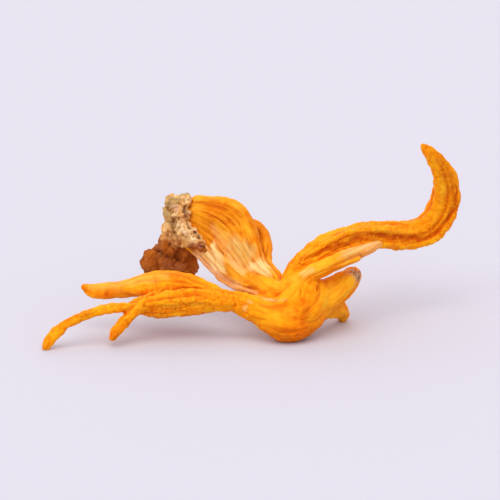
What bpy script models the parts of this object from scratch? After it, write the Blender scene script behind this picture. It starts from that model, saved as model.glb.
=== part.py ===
"""Dried cordyceps: one branching cluster of orange club fungus, lying on a table.

Run with: blender --background --python part.py
The ribs are written in millimetres, the model is in metres, and +Z is up.

Every branch of the cluster is a bundle of ribs, the way a club shrinks and furrows
along its length as it dries. A rib is a route of points (x, y, z, radius). The ribs of
a branch are fused into one closed skin, and the cluster is parted at its main forks.
"""
import math

import bmesh
import bpy
from mathutils import Euler, Vector

# ---------------------------------------------------------------- driving dimensions

MM = 0.001
FORK_GAP = 0.30          # mm, the gap between two pieces that touch
CARVE_CLEARANCE = 0.42   # mm, how much a neighbour is swollen before it is cut out
SKIN_VOXEL = 0.32        # mm, grid size of the fused skin
SKIN_SMOOTHING = 1       # rounds of smoothing of the fused skin
SPAN_STEPS = 4           # samples of a rib between two of its points
RIB_SIDES = 3            # bevel resolution of a rib's round section
BOX_CENTRE = Vector((0.8, 4.2, 0.0))   # mm, middle of the cluster's box in the ribs' frame
FLOOR_DEPTH = 6.0        # mm, depth of the block that cuts the underside flat
LARGE = 120.0            # mm, wider than the whole cluster

# ---------------------------------------------------------------- ribs, in mm

LEFT_ARM_RIBS = [
    # the lower, grainy club
    [(-19.2, -5.5, 5.7, 1.1), (-16.2, -5.3, 5.9, 2.1), (-12.6, -5.0, 6.1, 2.4), (-8.6, -5.0, 6.6, 2.3),
     (-5.0, -5.0, 6.6, 1.75), (-2.2, -5.0, 6.2, 1.65), (0.6, -5.2, 5.0, 1.9)],
    # the upper, smooth club
    [(-27.6, 1.5, 7.0, 0.7), (-26.0, 1.2, 6.3, 1.25), (-23.0, 0.6, 6.6, 1.5), (-19.4, 0.0, 7.4, 1.65),
     (-15.4, -1.0, 8.7, 1.75), (-11.4, -2.0, 8.9, 1.75), (-7.4, -3.0, 7.8, 1.6), (-4.2, -4.0, 6.9, 1.45),
     (-1.0, -4.4, 6.0, 1.7)],
    # a wrinkle on each of them
    [(-17.0, -7.1, 6.6, 0.5), (-13.0, -7.0, 7.0, 0.65), (-9.0, -6.8, 7.4, 0.65), (-5.2, -6.2, 6.9, 0.5)],
    [(-20.6, -1.0, 8.2, 0.4), (-16.6, -1.9, 9.6, 0.6), (-12.0, -3.2, 9.8, 0.65), (-7.8, -4.2, 8.5, 0.55)],
    [(-15.4, -5.0, 4.2, 0.6), (-10.8, -5.2, 4.6, 0.7), (-6.4, -5.0, 5.4, 0.6)],
]

FINGER_RIBS = [
    # the long finger, down to the table
    [(-17.0, -6.0, 5.7, 1.2), (-19.2, -6.4, 5.7, 0.95), (-21.8, -6.9, 6.0, 0.9), (-24.6, -7.5, 5.7, 0.85),
     (-27.4, -8.2, 5.0, 0.85), (-30.2, -9.0, 3.7, 0.9), (-32.3, -10.0, 2.1, 0.9), (-33.6, -10.8, 0.55, 0.75)],
    # the short finger
    [(-17.0, -6.0, 6.3, 1.2), (-19.0, -6.8, 5.4, 1.05), (-20.5, -7.9, 4.0, 1.0), (-21.7, -8.9, 2.7, 1.1),
     (-22.5, -9.6, 1.7, 0.85)],
]

TRUNK_RIBS = [
    # the lower band, which lies on the table
    [(-1.0, -5.1, 5.7, 1.7), (0.8, -5.3, 5.0, 1.9), (3.4, -5.8, 3.9, 2.4), (6.4, -6.2, 2.8, 3.0),
     (9.2, -4.9, 3.0, 2.7), (12.0, -2.4, 4.6, 2.1)],
    # the middle band, from the upper club to the pale stub
    [(-3.6, -4.2, 6.7, 1.45), (-1.0, -4.5, 6.0, 1.7), (2.2, -4.9, 5.2, 1.9), (5.2, -5.2, 5.2, 2.2),
     (7.6, -4.5, 7.0, 2.2), (9.2, -3.6, 9.4, 1.7)],
    # the smooth band that turns up from the fan into the curled arm
    [(1.6, 0.2, 8.4, 1.3), (4.2, -1.4, 7.3, 1.7), (6.6, -2.0, 7.5, 2.1), (8.0, -1.4, 9.4, 2.3)],
    # the back band, towards the grey-tipped stub
    [(2.6, -2.4, 5.4, 1.7), (6.6, -1.8, 4.8, 2.3), (11.6, -1.6, 4.9, 2.2)],
    # wrinkles on its face
    [(0.4, -6.8, 5.2, 0.6), (4.0, -7.6, 4.4, 0.7), (8.0, -7.4, 5.0, 0.8), (9.8, -5.4, 7.4, 0.8)],
    [(2.6, -7.2, 2.7, 0.7), (6.4, -8.6, 1.8, 0.9), (9.8, -7.0, 2.2, 0.8)],
]

CURLED_ARM_RIBS = [
    # the main club
    [(6.8, -1.4, 6.4, 2.3), (7.9, -1.0, 9.2, 2.5), (9.8, -0.4, 12.2, 2.15), (12.4, 1.0, 14.2, 1.75),
     (16.0, 4.0, 15.0, 1.6), (20.0, 7.0, 15.1, 1.55), (24.0, 10.0, 14.1, 1.55), (27.6, 12.5, 13.4, 1.65),
     (30.6, 14.0, 14.1, 1.7), (32.6, 14.0, 16.9, 1.75), (33.1, 12.8, 20.6, 1.65), (32.4, 11.0, 24.4, 1.45),
     (31.0, 9.3, 27.4, 1.2), (29.3, 8.0, 29.5, 0.75)],
    # the narrow rib along its outer side, past a furrow
    [(9.8, -2.0, 10.7, 1.2), (12.2, -0.9, 12.7, 1.0), (15.8, 2.1, 13.5, 0.85), (20.2, 5.4, 13.5, 0.8),
     (24.2, 8.6, 12.3, 0.8), (28.3, 11.5, 11.5, 0.85), (32.0, 13.0, 12.5, 0.9), (34.4, 13.1, 15.9, 0.9),
     (35.1, 11.9, 20.4, 0.8), (34.1, 10.2, 24.6, 0.65), (32.3, 8.9, 27.6, 0.5), (30.4, 8.1, 29.2, 0.35)],
    # a low rib on its back
    [(9.2, 1.2, 11.2, 1.3), (13.2, 3.2, 14.6, 1.0), (18.2, 7.3, 15.5, 0.85), (24.4, 11.6, 14.5, 0.85),
     (29.0, 15.0, 14.3, 0.85), (31.6, 15.5, 17.6, 0.85), (31.9, 14.1, 21.4, 0.75), (31.5, 12.1, 24.8, 0.6),
     (30.6, 10.2, 27.4, 0.4)],
    # a fine wrinkle along its face
    [(9.0, -2.4, 12.6, 0.6), (12.6, -0.6, 15.0, 0.6), (17.0, 3.2, 16.0, 0.55), (21.6, 6.8, 15.6, 0.55),
     (26.4, 10.6, 14.4, 0.5)],
]

GREY_STUB_RIBS = [
    [(8.6, -3.0, 4.7, 2.2), (11.8, -1.5, 4.9, 2.1), (14.2, 0.0, 6.1, 2.15), (16.2, 1.2, 7.9, 2.0),
     (17.4, 1.9, 9.0, 1.6)],
    # its heel, which touches the table
    [(11.0, -2.0, 4.4, 2.1), (13.8, 0.8, 3.6, 2.0), (15.4, 3.0, 2.3, 1.5), (16.0, 4.4, 0.8, 1.2)],
    # a wrinkle on each side
    [(13.0, -2.8, 5.6, 0.7), (15.4, -1.4, 7.4, 0.8), (16.8, -0.2, 9.2, 0.7)],
    [(14.6, 1.4, 4.4, 0.9), (17.4, 2.6, 6.4, 0.8), (18.6, 3.0, 8.4, 0.6)],
]

PALE_STUB_RIBS = [
    [(7.8, -3.7, 8.2, 2.0), (10.6, -3.4, 10.9, 1.6), (13.4, -2.7, 12.1, 1.4), (16.2, -1.5, 13.0, 1.2),
     (19.0, 0.0, 13.8, 1.0), (21.7, 1.4, 14.5, 0.8)],
    [(11.6, -4.4, 10.6, 0.7), (14.8, -3.4, 12.0, 0.6), (18.2, -1.6, 13.0, 0.5)],
]

# The fan is a pleated sheet between a rolled upper edge and a thin lower rim. These
# three lines run from its butt end to the trunk: x, y, z.
FAN_CREST = [(-8.8, 11.5, 19.0), (-6.2, 10.6, 19.1), (-3.6, 9.2, 19.0), (-1.4, 7.8, 18.0), (0.0, 6.2, 15.9),
             (1.0, 4.4, 13.2), (2.2, 2.2, 10.5), (4.6, -0.2, 8.3)]
FAN_FACE = [(-10.2, 11.2, 16.2), (-8.0, 9.4, 15.7), (-5.8, 7.4, 14.8), (-3.8, 5.6, 13.2), (-2.2, 4.0, 11.6),
            (-0.6, 2.2, 9.9), (1.4, 0.4, 8.6), (4.6, -1.8, 7.4)]
FAN_RIM = [(-11.4, 12.2, 12.1), (-9.7, 10.6, 10.9), (-8.0, 8.8, 9.9), (-6.5, 6.8, 8.9), (-5.0, 4.7, 7.8),
           (-2.9, 2.3, 7.2), (0.1, -0.3, 6.9), (3.8, -3.1, 6.3)]
FAN_PLEATS = 7
PLEAT_RADII = (1.45, 1.25, 1.3, 1.1, 1.2, 1.0, 0.85)   # from the crest to the rim, at the fan's widest
PLEAT_TAPER = 0.25       # how much thinner a pleat is at the butt end

FAN_EXTRA_RIBS = [
    # the second fold beside the upper edge
    [(0.4, 8.8, 15.9), (2.3, 8.4, 14.4), (2.9, 6.4, 12.2), (2.8, 4.0, 10.1), (4.4, 1.2, 8.1)],
    # a pleat on its back
    [(-7.8, 12.8, 17.2), (-4.0, 10.2, 15.6), (-1.2, 6.8, 12.4), (1.6, 2.6, 9.2)],
]
EXTRA_RIB_RADII = ((0.8, 1.15, 1.2, 1.2, 1.6), (1.2, 1.3, 1.3, 1.4))

# lumps of the substrate remnant: x, y, z and radius
SUBSTRATE_LUMPS = [
    # the crust on the fan's butt end
    (-12.6, 12.4, 18.4, 1.7), (-10.9, 11.2, 19.1, 1.4), (-13.0, 12.8, 16.4, 1.8), (-11.2, 10.2, 17.0, 1.5),
    (-12.9, 12.6, 14.3, 1.7), (-11.0, 9.8, 14.8, 1.6), (-9.6, 8.9, 14.0, 1.3), (-12.2, 12.0, 12.5, 1.5),
    (-10.4, 9.4, 12.6, 1.5), (-8.7, 8.1, 12.9, 1.3), (-7.7, 7.4, 12.3, 1.0), (-11.6, 14.4, 15.6, 2.0),
    # what is under it, down to the table
    (-13.2, 13.8, 10.8, 2.6), (-11.2, 14.2, 9.8, 2.5), (-12.4, 15.4, 12.8, 2.6), (-14.2, 15.0, 7.2, 3.3),
    (-16.4, 14.4, 6.8, 2.4), (-11.2, 14.8, 6.6, 2.9), (-14.0, 15.6, 2.3, 3.4), (-10.6, 15.6, 2.0, 2.9),
    (-16.8, 14.8, 1.9, 2.6), (-12.2, 17.8, 1.9, 2.7), (-15.4, 17.6, 4.4, 2.6), (-12.6, 17.2, 8.8, 2.6),
]
LUMP_SUBDIVISIONS = 1
LUMP_SQUASH = 0.85       # height of a lump over its width
LUMP_TURN = 2.4          # radians that each lump is turned past the one before

# ---------------------------------------------------------------- forks, in mm

# where the fused cluster is sawn: middle, direction of the branch, radius of the cut
FORKS = [
    ((-21.3, 0.3, 6.9), (-1.0, 0.1, -0.1), 2.6),        # upper finger
    ((-20.8, -6.7, 5.9), (-1.0, -0.2, 0.1), 1.2),       # long finger
    ((-20.1, -7.6, 4.4), (-0.64, -0.47, -0.6), 1.6),    # short finger
    ((-3.0, -4.6, 6.4), (1.0, 0.0, -0.1), 3.0),         # left arm
    ((8.6, -0.9, 10.4), (0.45, 0.1, 0.88), 5.0),        # curled arm
    ((13.1, -0.6, 5.0), (0.8, 0.5, 0.3), 4.6),          # grey-tipped stub
    ((2.6, -0.2, 8.4), (0.72, -0.60, -0.36), 4.4),      # base fan
]

# each sawn piece is named by a point near its middle
PIECE_MARKS = {
    "upper_finger": (-25.0, 1.0, 6.5),
    "long_finger": (-27.4, -8.2, 5.0),
    "short_finger": (-21.7, -8.9, 2.7),
    "left_arm": (-12.0, -3.8, 7.4),
    "trunk": (6.0, -4.0, 5.0),
    "curled_arm": (24.0, 10.0, 14.0),
    "grey_tipped_stub": (15.4, 1.4, 6.2),
    "base_fan": (-4.0, 6.5, 13.0),
}

# triangles of each skin before it is sawn or carved
CLUSTER_TRIANGLES = 6900
STUB_TRIANGLES = 380
SUBSTRATE_TRIANGLES = 1080
CUTTER_TRIANGLES = 2600

# ---------------------------------------------------------------- materials

# slot: base colour (linear red, green, blue), roughness
MATERIALS = {
    "club_flesh": ((0.90, 0.30, 0.020), 0.60),
    "fan_flesh": ((0.90, 0.36, 0.050), 0.62),
    "pale_flesh": ((0.86, 0.42, 0.14), 0.66),
    "substrate": ((0.28, 0.18, 0.09), 0.85),
}
SLOT_OF_PIECE = {
    "base_fan": "fan_flesh",
    "pale_stub": "pale_flesh",
    "substrate_remnant": "substrate",
}
DEFAULT_SLOT = "club_flesh"


# ---------------------------------------------------------------- helpers

def clear_scene():
    for old in list(bpy.data.objects):
        bpy.data.objects.remove(old, do_unlink=True)


def new_collection(name):
    group = bpy.data.collections.new(name)
    bpy.context.scene.collection.children.link(group)
    return group


def make_materials():
    made = {}
    for slot, (colour, roughness) in MATERIALS.items():
        material = bpy.data.materials.new(slot)
        material.use_nodes = True
        shader = material.node_tree.nodes["Principled BSDF"]
        shader.inputs["Base Color"].default_value = (*colour, 1.0)
        shader.inputs["Roughness"].default_value = roughness
        shader.inputs["Metallic"].default_value = 0.0
        made[slot] = material
    return made


def smooth_route(points):
    """Samples a Catmull-Rom curve through the points of a rib."""
    ends = [points[0]] + list(points) + [points[-1]]
    route = []
    for index in range(len(points) - 1):
        before, start, stop, after = (Vector(ends[index + k]) for k in range(4))
        for step in range(SPAN_STEPS):
            t = step / SPAN_STEPS
            route.append(0.5 * (2.0 * start + (stop - before) * t
                                + (2.0 * before - 5.0 * start + 4.0 * stop - after) * t ** 2
                                + (3.0 * start - before - 3.0 * stop + after) * t ** 3))
    route.append(Vector(points[-1]))
    return route


def dome(tip, inner):
    """Points that round off a rib's end, from its last point outwards."""
    outward = (tip.xyz - inner.xyz).normalized()
    radius = tip.w
    cap = []
    for angle in (35.0, 65.0, 85.0):
        turn = math.radians(angle)
        place = tip.xyz + outward * radius * math.sin(turn)
        cap.append(Vector((*place, radius * math.cos(turn))))
    return cap


def rib_mesh(points, swell):
    """A rib as a closed tube with round ends."""
    route = smooth_route(points)
    route = dome(route[0], route[1])[::-1] + route + dome(route[-1], route[-2])
    curve = bpy.data.curves.new("rib", "CURVE")
    curve.dimensions = "3D"
    curve.bevel_depth = MM
    curve.bevel_resolution = RIB_SIDES
    curve.use_fill_caps = True
    spline = curve.splines.new("POLY")
    spline.points.add(len(route) - 1)
    for point, sample in zip(spline.points, route):
        place = (sample.xyz - BOX_CENTRE) * MM
        point.co = (*place, 1.0)
        point.radius = sample.w + swell
    holder = bpy.data.objects.new("rib", curve)
    bpy.context.scene.collection.objects.link(holder)
    mesh = evaluated_mesh(holder)
    bpy.data.objects.remove(holder, do_unlink=True)
    return mesh


def fan_ribs():
    """Pleats across the fan's sheet, from its crest to its rim, and its extra folds."""
    ribs = []
    stations = len(FAN_CREST)
    for pleat in range(FAN_PLEATS):
        across = pleat / (FAN_PLEATS - 1)
        weights = ((1 - across) * (1 - 2 * across), 4 * across * (1 - across), across * (2 * across - 1))
        points = []
        for station, lines in enumerate(zip(FAN_CREST, FAN_FACE, FAN_RIM)):
            place = sum((Vector(line) * weight for line, weight in zip(lines, weights)), Vector())
            fullness = 1.0 - PLEAT_TAPER * abs(1.0 - 2.0 * station / (stations - 1))
            points.append((*place, PLEAT_RADII[pleat] * fullness))
        ribs.append(points)
    for places, radii in zip(FAN_EXTRA_RIBS, EXTRA_RIB_RADII):
        ribs.append([(*place, radius) for place, radius in zip(places, radii)])
    return ribs


def lump_mesh(index, x, y, z, radius):
    """One crumb of substrate, as a squashed ball with flat facets."""
    bm = bmesh.new()
    bmesh.ops.create_icosphere(bm, subdivisions=LUMP_SUBDIVISIONS, radius=radius * MM)
    turn = Euler((LUMP_TURN * index, LUMP_TURN * index * 0.7, 0.0)).to_matrix()
    bmesh.ops.rotate(bm, matrix=turn, verts=bm.verts)
    bmesh.ops.scale(bm, vec=(1.0, 1.0, LUMP_SQUASH), verts=bm.verts)
    bmesh.ops.translate(bm, vec=(Vector((x, y, z)) - BOX_CENTRE) * MM, verts=bm.verts)
    mesh = bpy.data.meshes.new("lump")
    bm.to_mesh(mesh)
    bm.free()
    return mesh


def evaluated_mesh(obj):
    """The mesh of an object with its modifiers, welded and in world space."""
    bpy.context.view_layer.update()
    depsgraph = bpy.context.evaluated_depsgraph_get()
    mesh = bpy.data.meshes.new_from_object(obj.evaluated_get(depsgraph))
    mesh.transform(obj.matrix_world)
    bm = bmesh.new()
    bm.from_mesh(mesh)
    bmesh.ops.remove_doubles(bm, verts=bm.verts, dist=0.00001)
    bm.to_mesh(mesh)
    bm.free()
    return mesh


def joined(meshes):
    bm = bmesh.new()
    for mesh in meshes:
        bm.from_mesh(mesh)
        bpy.data.meshes.remove(mesh)
    together = bpy.data.meshes.new("joined")
    bm.to_mesh(together)
    bm.free()
    return together


def triangle_count(mesh):
    return sum(len(face.vertices) - 2 for face in mesh.polygons)


def fused(name, meshes, triangles):
    """Fuses overlapping closed meshes into one skin of about so many triangles."""
    obj = bpy.data.objects.new(name, joined(meshes))
    bpy.context.scene.collection.objects.link(obj)
    remesh = obj.modifiers.new("skin", "REMESH")
    remesh.mode = "VOXEL"
    remesh.voxel_size = SKIN_VOXEL * MM
    smooth = obj.modifiers.new("smooth", "SMOOTH")
    smooth.factor = 0.5
    smooth.iterations = SKIN_SMOOTHING
    skin = evaluated_mesh(obj)
    obj.modifiers.clear()
    obj.data = skin
    decimate = obj.modifiers.new("thin", "DECIMATE")
    decimate.ratio = min(1.0, triangles / triangle_count(skin))
    obj.data = evaluated_mesh(obj)
    obj.modifiers.clear()
    return obj


def subtract(obj, cutter):
    """Cuts one closed object out of another and removes the cutter."""
    cutter.display_type = "WIRE"
    cutter.hide_render = True
    cut = obj.modifiers.new("cut", "BOOLEAN")
    cut.operation = "DIFFERENCE"
    cut.solver = "EXACT"
    cut.object = cutter
    mesh = evaluated_mesh(obj)
    obj.modifiers.clear()
    obj.data = mesh
    bpy.data.objects.remove(cutter, do_unlink=True)


def floor_block():
    """A block under the table's top, which leaves a flat face where a piece rests."""
    bpy.ops.mesh.primitive_cube_add(size=1.0, location=(0.0, 0.0, -FLOOR_DEPTH / 2 * MM))
    block = bpy.context.object
    block.scale = (LARGE * MM, LARGE * MM, FLOOR_DEPTH * MM)
    return block


def fork_disc(middle, direction, radius):
    """A thin disc across a branch, which saws it off with a narrow gap."""
    bpy.ops.mesh.primitive_cylinder_add(vertices=24, radius=radius * MM, depth=FORK_GAP * MM)
    disc = bpy.context.object
    disc.location = (Vector(middle) - BOX_CENTRE) * MM
    disc.rotation_mode = "QUATERNION"
    disc.rotation_quaternion = Vector(direction).to_track_quat("Z", "Y")
    return disc


def islands(mesh):
    """Splits a mesh into its connected pieces, largest first."""
    bm = bmesh.new()
    bm.from_mesh(mesh)
    bm.verts.ensure_lookup_table()
    unseen = set(range(len(bm.verts)))
    groups = []
    while unseen:
        queue = [unseen.pop()]
        group = set(queue)
        while queue:
            vert = bm.verts[queue.pop()]
            for edge in vert.link_edges:
                other = edge.other_vert(vert).index
                if other in unseen:
                    unseen.discard(other)
                    group.add(other)
                    queue.append(other)
        groups.append(group)
    bm.free()
    groups.sort(key=lambda group: (-len(group), min(group)))
    return groups


def kept_part(mesh, group):
    """A copy of a mesh that holds only one of its connected pieces."""
    bm = bmesh.new()
    bm.from_mesh(mesh)
    outside = [vert for vert in bm.verts if vert.index not in group]
    bmesh.ops.delete(bm, geom=outside, context="VERTS")
    bmesh.ops.triangulate(bm, faces=bm.faces)
    part = bpy.data.meshes.new("part")
    bm.to_mesh(part)
    bm.free()
    return part


def finish(name, mesh, parts, materials):
    """Puts a finished piece in the parts collection, with its name and material."""
    mesh.name = name
    mesh.materials.clear()
    mesh.materials.append(materials[SLOT_OF_PIECE.get(name, DEFAULT_SLOT)])
    mesh.shade_smooth()
    piece = bpy.data.objects.new(name, mesh)
    parts.objects.link(piece)
    print(name, triangle_count(mesh), "triangles")
    return piece


def finish_largest(name, obj, parts, materials):
    mesh = kept_part(obj.data, islands(obj.data)[0])
    bpy.data.objects.remove(obj, do_unlink=True)
    return finish(name, mesh, parts, materials)


# ---------------------------------------------------------------- the cluster

def bundle(ribs, swell=0.0):
    return [rib_mesh(points, swell) for points in ribs]


def swollen(name, ribs):
    """A neighbour's ribs, swollen by the clearance, to cut a seat for them."""
    return fused(name, bundle(ribs, CARVE_CLEARANCE), CUTTER_TRIANGLES)


def build_cluster(parts, materials):
    """Everything that grew as one piece, fused and then sawn at its main forks."""
    ribs = (LEFT_ARM_RIBS + FINGER_RIBS + TRUNK_RIBS + CURLED_ARM_RIBS + GREY_STUB_RIBS + fan_ribs())
    cluster = fused("cluster", bundle(ribs), CLUSTER_TRIANGLES)
    subtract(cluster, floor_block())
    for middle, direction, radius in FORKS:
        subtract(cluster, fork_disc(middle, direction, radius))
    groups = islands(cluster.data)
    print("pieces by vertices:", [len(group) for group in groups])
    for group in groups[:len(PIECE_MARKS)]:
        mesh = kept_part(cluster.data, group)
        centre = sum((vert.co for vert in mesh.vertices), Vector()) / len(mesh.vertices) / MM + BOX_CENTRE
        name = min(PIECE_MARKS, key=lambda mark: (Vector(PIECE_MARKS[mark]) - centre).length)
        finish(name, mesh, parts, materials)
    bpy.data.objects.remove(cluster, do_unlink=True)


def build_pale_stub(parts, materials):
    stub = fused("stub", bundle(PALE_STUB_RIBS), STUB_TRIANGLES)
    subtract(stub, swollen("stub_seat", TRUNK_RIBS + CURLED_ARM_RIBS))
    return finish_largest("pale_stub", stub, parts, materials)


def build_substrate(parts, materials):
    lumps = [lump_mesh(index, *lump) for index, lump in enumerate(SUBSTRATE_LUMPS)]
    remnant = fused("remnant", lumps, SUBSTRATE_TRIANGLES)
    subtract(remnant, floor_block())
    subtract(remnant, swollen("remnant_seat", fan_ribs()))
    return finish_largest("substrate_remnant", remnant, parts, materials)


def main():
    clear_scene()
    parts = new_collection("dried_cordyceps")
    materials = make_materials()
    build_cluster(parts, materials)
    build_pale_stub(parts, materials)
    build_substrate(parts, materials)


main()
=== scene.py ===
# %% [markdown]
# # Dried cordyceps
# The object is one branching cluster of dried orange club fungus. It lies on its side and
# rests on the knuckle that joins its branches, the tip of its longest finger, the heel of
# a short stub, and the rest of the growing medium that still sticks to its butt end.
#
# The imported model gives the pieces, their sizes and where they touch the table. This
# script gives them their skin: the shrunken ribs, the wrinkles, the fine grains of the
# clubs, the crumbly crust, and the colours. Nothing is moved or resized.

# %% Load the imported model
import math
import random

import bmesh
import bpy
import numpy as np
from mathutils import Euler, Matrix, Vector, noise


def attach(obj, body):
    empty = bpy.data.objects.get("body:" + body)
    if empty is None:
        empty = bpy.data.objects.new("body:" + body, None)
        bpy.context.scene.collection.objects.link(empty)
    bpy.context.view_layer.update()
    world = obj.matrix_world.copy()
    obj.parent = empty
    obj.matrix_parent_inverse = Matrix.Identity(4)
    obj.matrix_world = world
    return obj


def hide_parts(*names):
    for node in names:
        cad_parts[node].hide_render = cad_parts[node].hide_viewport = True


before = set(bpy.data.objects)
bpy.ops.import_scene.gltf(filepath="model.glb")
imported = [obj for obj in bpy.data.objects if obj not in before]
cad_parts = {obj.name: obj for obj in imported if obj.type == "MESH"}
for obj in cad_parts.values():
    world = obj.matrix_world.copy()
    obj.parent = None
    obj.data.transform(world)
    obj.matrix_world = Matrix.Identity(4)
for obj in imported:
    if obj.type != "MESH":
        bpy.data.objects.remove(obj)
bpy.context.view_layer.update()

# %% [markdown]
# ## Units
# A dried club is 2 to 5 mm thick, so it is easiest to think in millimetres. Everything is
# modelled in millimetres around the cluster's own corner and is brought to metres, and to
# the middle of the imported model, in one step at the end.

# %% Units and the middle of the cluster
MM = 0.001
BOX_CENTRE = Vector((0.8, 4.2, 0.0))   # mm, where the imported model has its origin


def to_world(points):
    """From the ribs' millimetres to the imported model's metres."""
    return (np.asarray(points, float) - np.array(BOX_CENTRE)) * MM


print("the packed model's origin in the ribs' millimetres:", tuple(BOX_CENTRE))


# %% [markdown]
# ## The ribs
# As a club dries it shrinks across its fibres much more than along them, so it ends up as
# a bundle of ribs with furrows between them. A club could be one long tube with a noisy
# surface, but then its furrows would be only skin deep. Here each branch is a bundle of
# ribs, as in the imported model: a rib is a route of points x, y, z and a radius, all in mm.

# %% Ribs of the left arm and its fingers
LEFT_ARM_RIBS = [
    # the lower, grainy club
    [(-19.2, -5.5, 5.7, 1.1), (-16.2, -5.3, 5.9, 2.1), (-12.6, -5.0, 6.1, 2.4), (-8.6, -5.0, 6.6, 2.3),
     (-5.0, -5.0, 6.6, 1.75), (-2.2, -5.0, 6.2, 1.65), (0.6, -5.2, 5.0, 1.9)],
    # the upper, smooth club
    [(-27.6, 1.5, 7.0, 0.7), (-26.0, 1.2, 6.3, 1.25), (-23.0, 0.6, 6.6, 1.5), (-19.4, 0.0, 7.4, 1.65),
     (-15.4, -1.0, 8.7, 1.75), (-11.4, -2.0, 8.9, 1.75), (-7.4, -3.0, 7.8, 1.6), (-4.2, -4.0, 6.9, 1.45),
     (-1.0, -4.4, 6.0, 1.7)],
    # a wrinkle on each of them
    [(-17.0, -7.1, 6.6, 0.5), (-13.0, -7.0, 7.0, 0.65), (-9.0, -6.8, 7.4, 0.65), (-5.2, -6.2, 6.9, 0.5)],
    [(-20.6, -1.0, 8.2, 0.4), (-16.6, -1.9, 9.6, 0.6), (-12.0, -3.2, 9.8, 0.65), (-7.8, -4.2, 8.5, 0.55)],
    [(-15.4, -5.0, 4.2, 0.6), (-10.8, -5.2, 4.6, 0.7), (-6.4, -5.0, 5.4, 0.6)],
]
FINGER_RIBS = [
    # the long finger, down to the table
    [(-17.0, -6.0, 5.7, 1.2), (-19.2, -6.4, 5.7, 0.95), (-21.8, -6.9, 6.0, 0.9), (-24.6, -7.5, 5.7, 0.85),
     (-27.4, -8.2, 5.0, 0.85), (-30.2, -9.0, 3.7, 0.9), (-32.3, -10.0, 2.1, 0.9), (-33.6, -10.8, 0.55, 0.75)],
    # the short finger
    [(-17.0, -6.0, 6.3, 1.2), (-19.0, -6.8, 5.4, 1.05), (-20.5, -7.9, 4.0, 1.0), (-21.7, -8.9, 2.7, 1.1),
     (-22.5, -9.6, 1.7, 0.85)],
]
print("ribs of the left arm:", len(LEFT_ARM_RIBS), "and of its fingers:", len(FINGER_RIBS))

# %% Ribs of the trunk and the two short stubs
TRUNK_RIBS = [
    # the lower band, which lies on the table
    [(-1.0, -5.1, 5.7, 1.7), (0.8, -5.3, 5.0, 1.9), (3.4, -5.8, 3.9, 2.4), (6.4, -6.2, 2.8, 3.0),
     (9.2, -4.9, 3.0, 2.7), (12.0, -2.4, 4.6, 2.1)],
    # the middle band, from the upper club to the pale stub
    [(-3.6, -4.2, 6.7, 1.45), (-1.0, -4.5, 6.0, 1.7), (2.2, -4.9, 5.2, 1.9), (5.2, -5.2, 5.2, 2.2),
     (7.6, -4.5, 7.0, 2.2), (9.2, -3.6, 9.4, 1.7)],
    # the smooth band that turns up from the fan into the curled arm
    [(1.6, 0.2, 8.4, 1.3), (4.2, -1.4, 7.3, 1.7), (6.6, -2.0, 7.5, 2.1), (8.0, -1.4, 9.4, 2.3)],
    # the back band, towards the grey-tipped stub
    [(0.2, -3.7, 5.6, 1.2), (2.8, -2.5, 5.3, 1.7), (6.6, -1.8, 4.8, 2.3), (11.6, -1.6, 4.9, 2.2)],
    # wrinkles on its face
    [(0.4, -6.8, 5.2, 0.6), (4.0, -7.6, 4.4, 0.7), (8.0, -7.4, 5.0, 0.8), (9.8, -5.4, 7.4, 0.8)],
    [(2.6, -7.2, 2.7, 0.7), (6.4, -8.6, 1.8, 0.9), (9.8, -7.0, 2.2, 0.8)],
]
GREY_STUB_RIBS = [
    [(8.6, -3.0, 4.7, 2.2), (11.8, -1.5, 4.9, 2.1), (14.2, 0.0, 6.1, 2.15), (16.2, 1.2, 7.9, 2.0),
     (17.4, 1.9, 9.0, 1.6)],
    # its heel, which touches the table
    [(11.0, -2.0, 4.4, 2.1), (13.8, 0.8, 3.6, 2.0), (15.4, 3.0, 2.3, 1.5), (16.0, 4.4, 0.8, 1.2)],
    # a wrinkle on each side
    [(13.0, -2.8, 5.6, 0.7), (15.4, -1.4, 7.4, 0.8), (16.8, -0.2, 9.2, 0.7)],
    [(14.6, 1.4, 4.4, 0.9), (17.4, 2.6, 6.4, 0.8), (18.6, 3.0, 8.4, 0.6)],
]
PALE_STUB_RIBS = [
    [(7.8, -3.7, 8.2, 2.0), (10.6, -3.4, 10.9, 1.6), (13.4, -2.7, 12.1, 1.4), (16.2, -1.5, 13.0, 1.2),
     (19.0, 0.0, 13.8, 1.0), (21.7, 1.4, 14.5, 0.8)],
    [(11.6, -4.4, 10.6, 0.7), (14.8, -3.4, 12.0, 0.6), (18.2, -1.6, 13.0, 0.5)],
]
print("ribs of the trunk:", len(TRUNK_RIBS), "and of the stubs:", len(GREY_STUB_RIBS) + len(PALE_STUB_RIBS))

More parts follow.
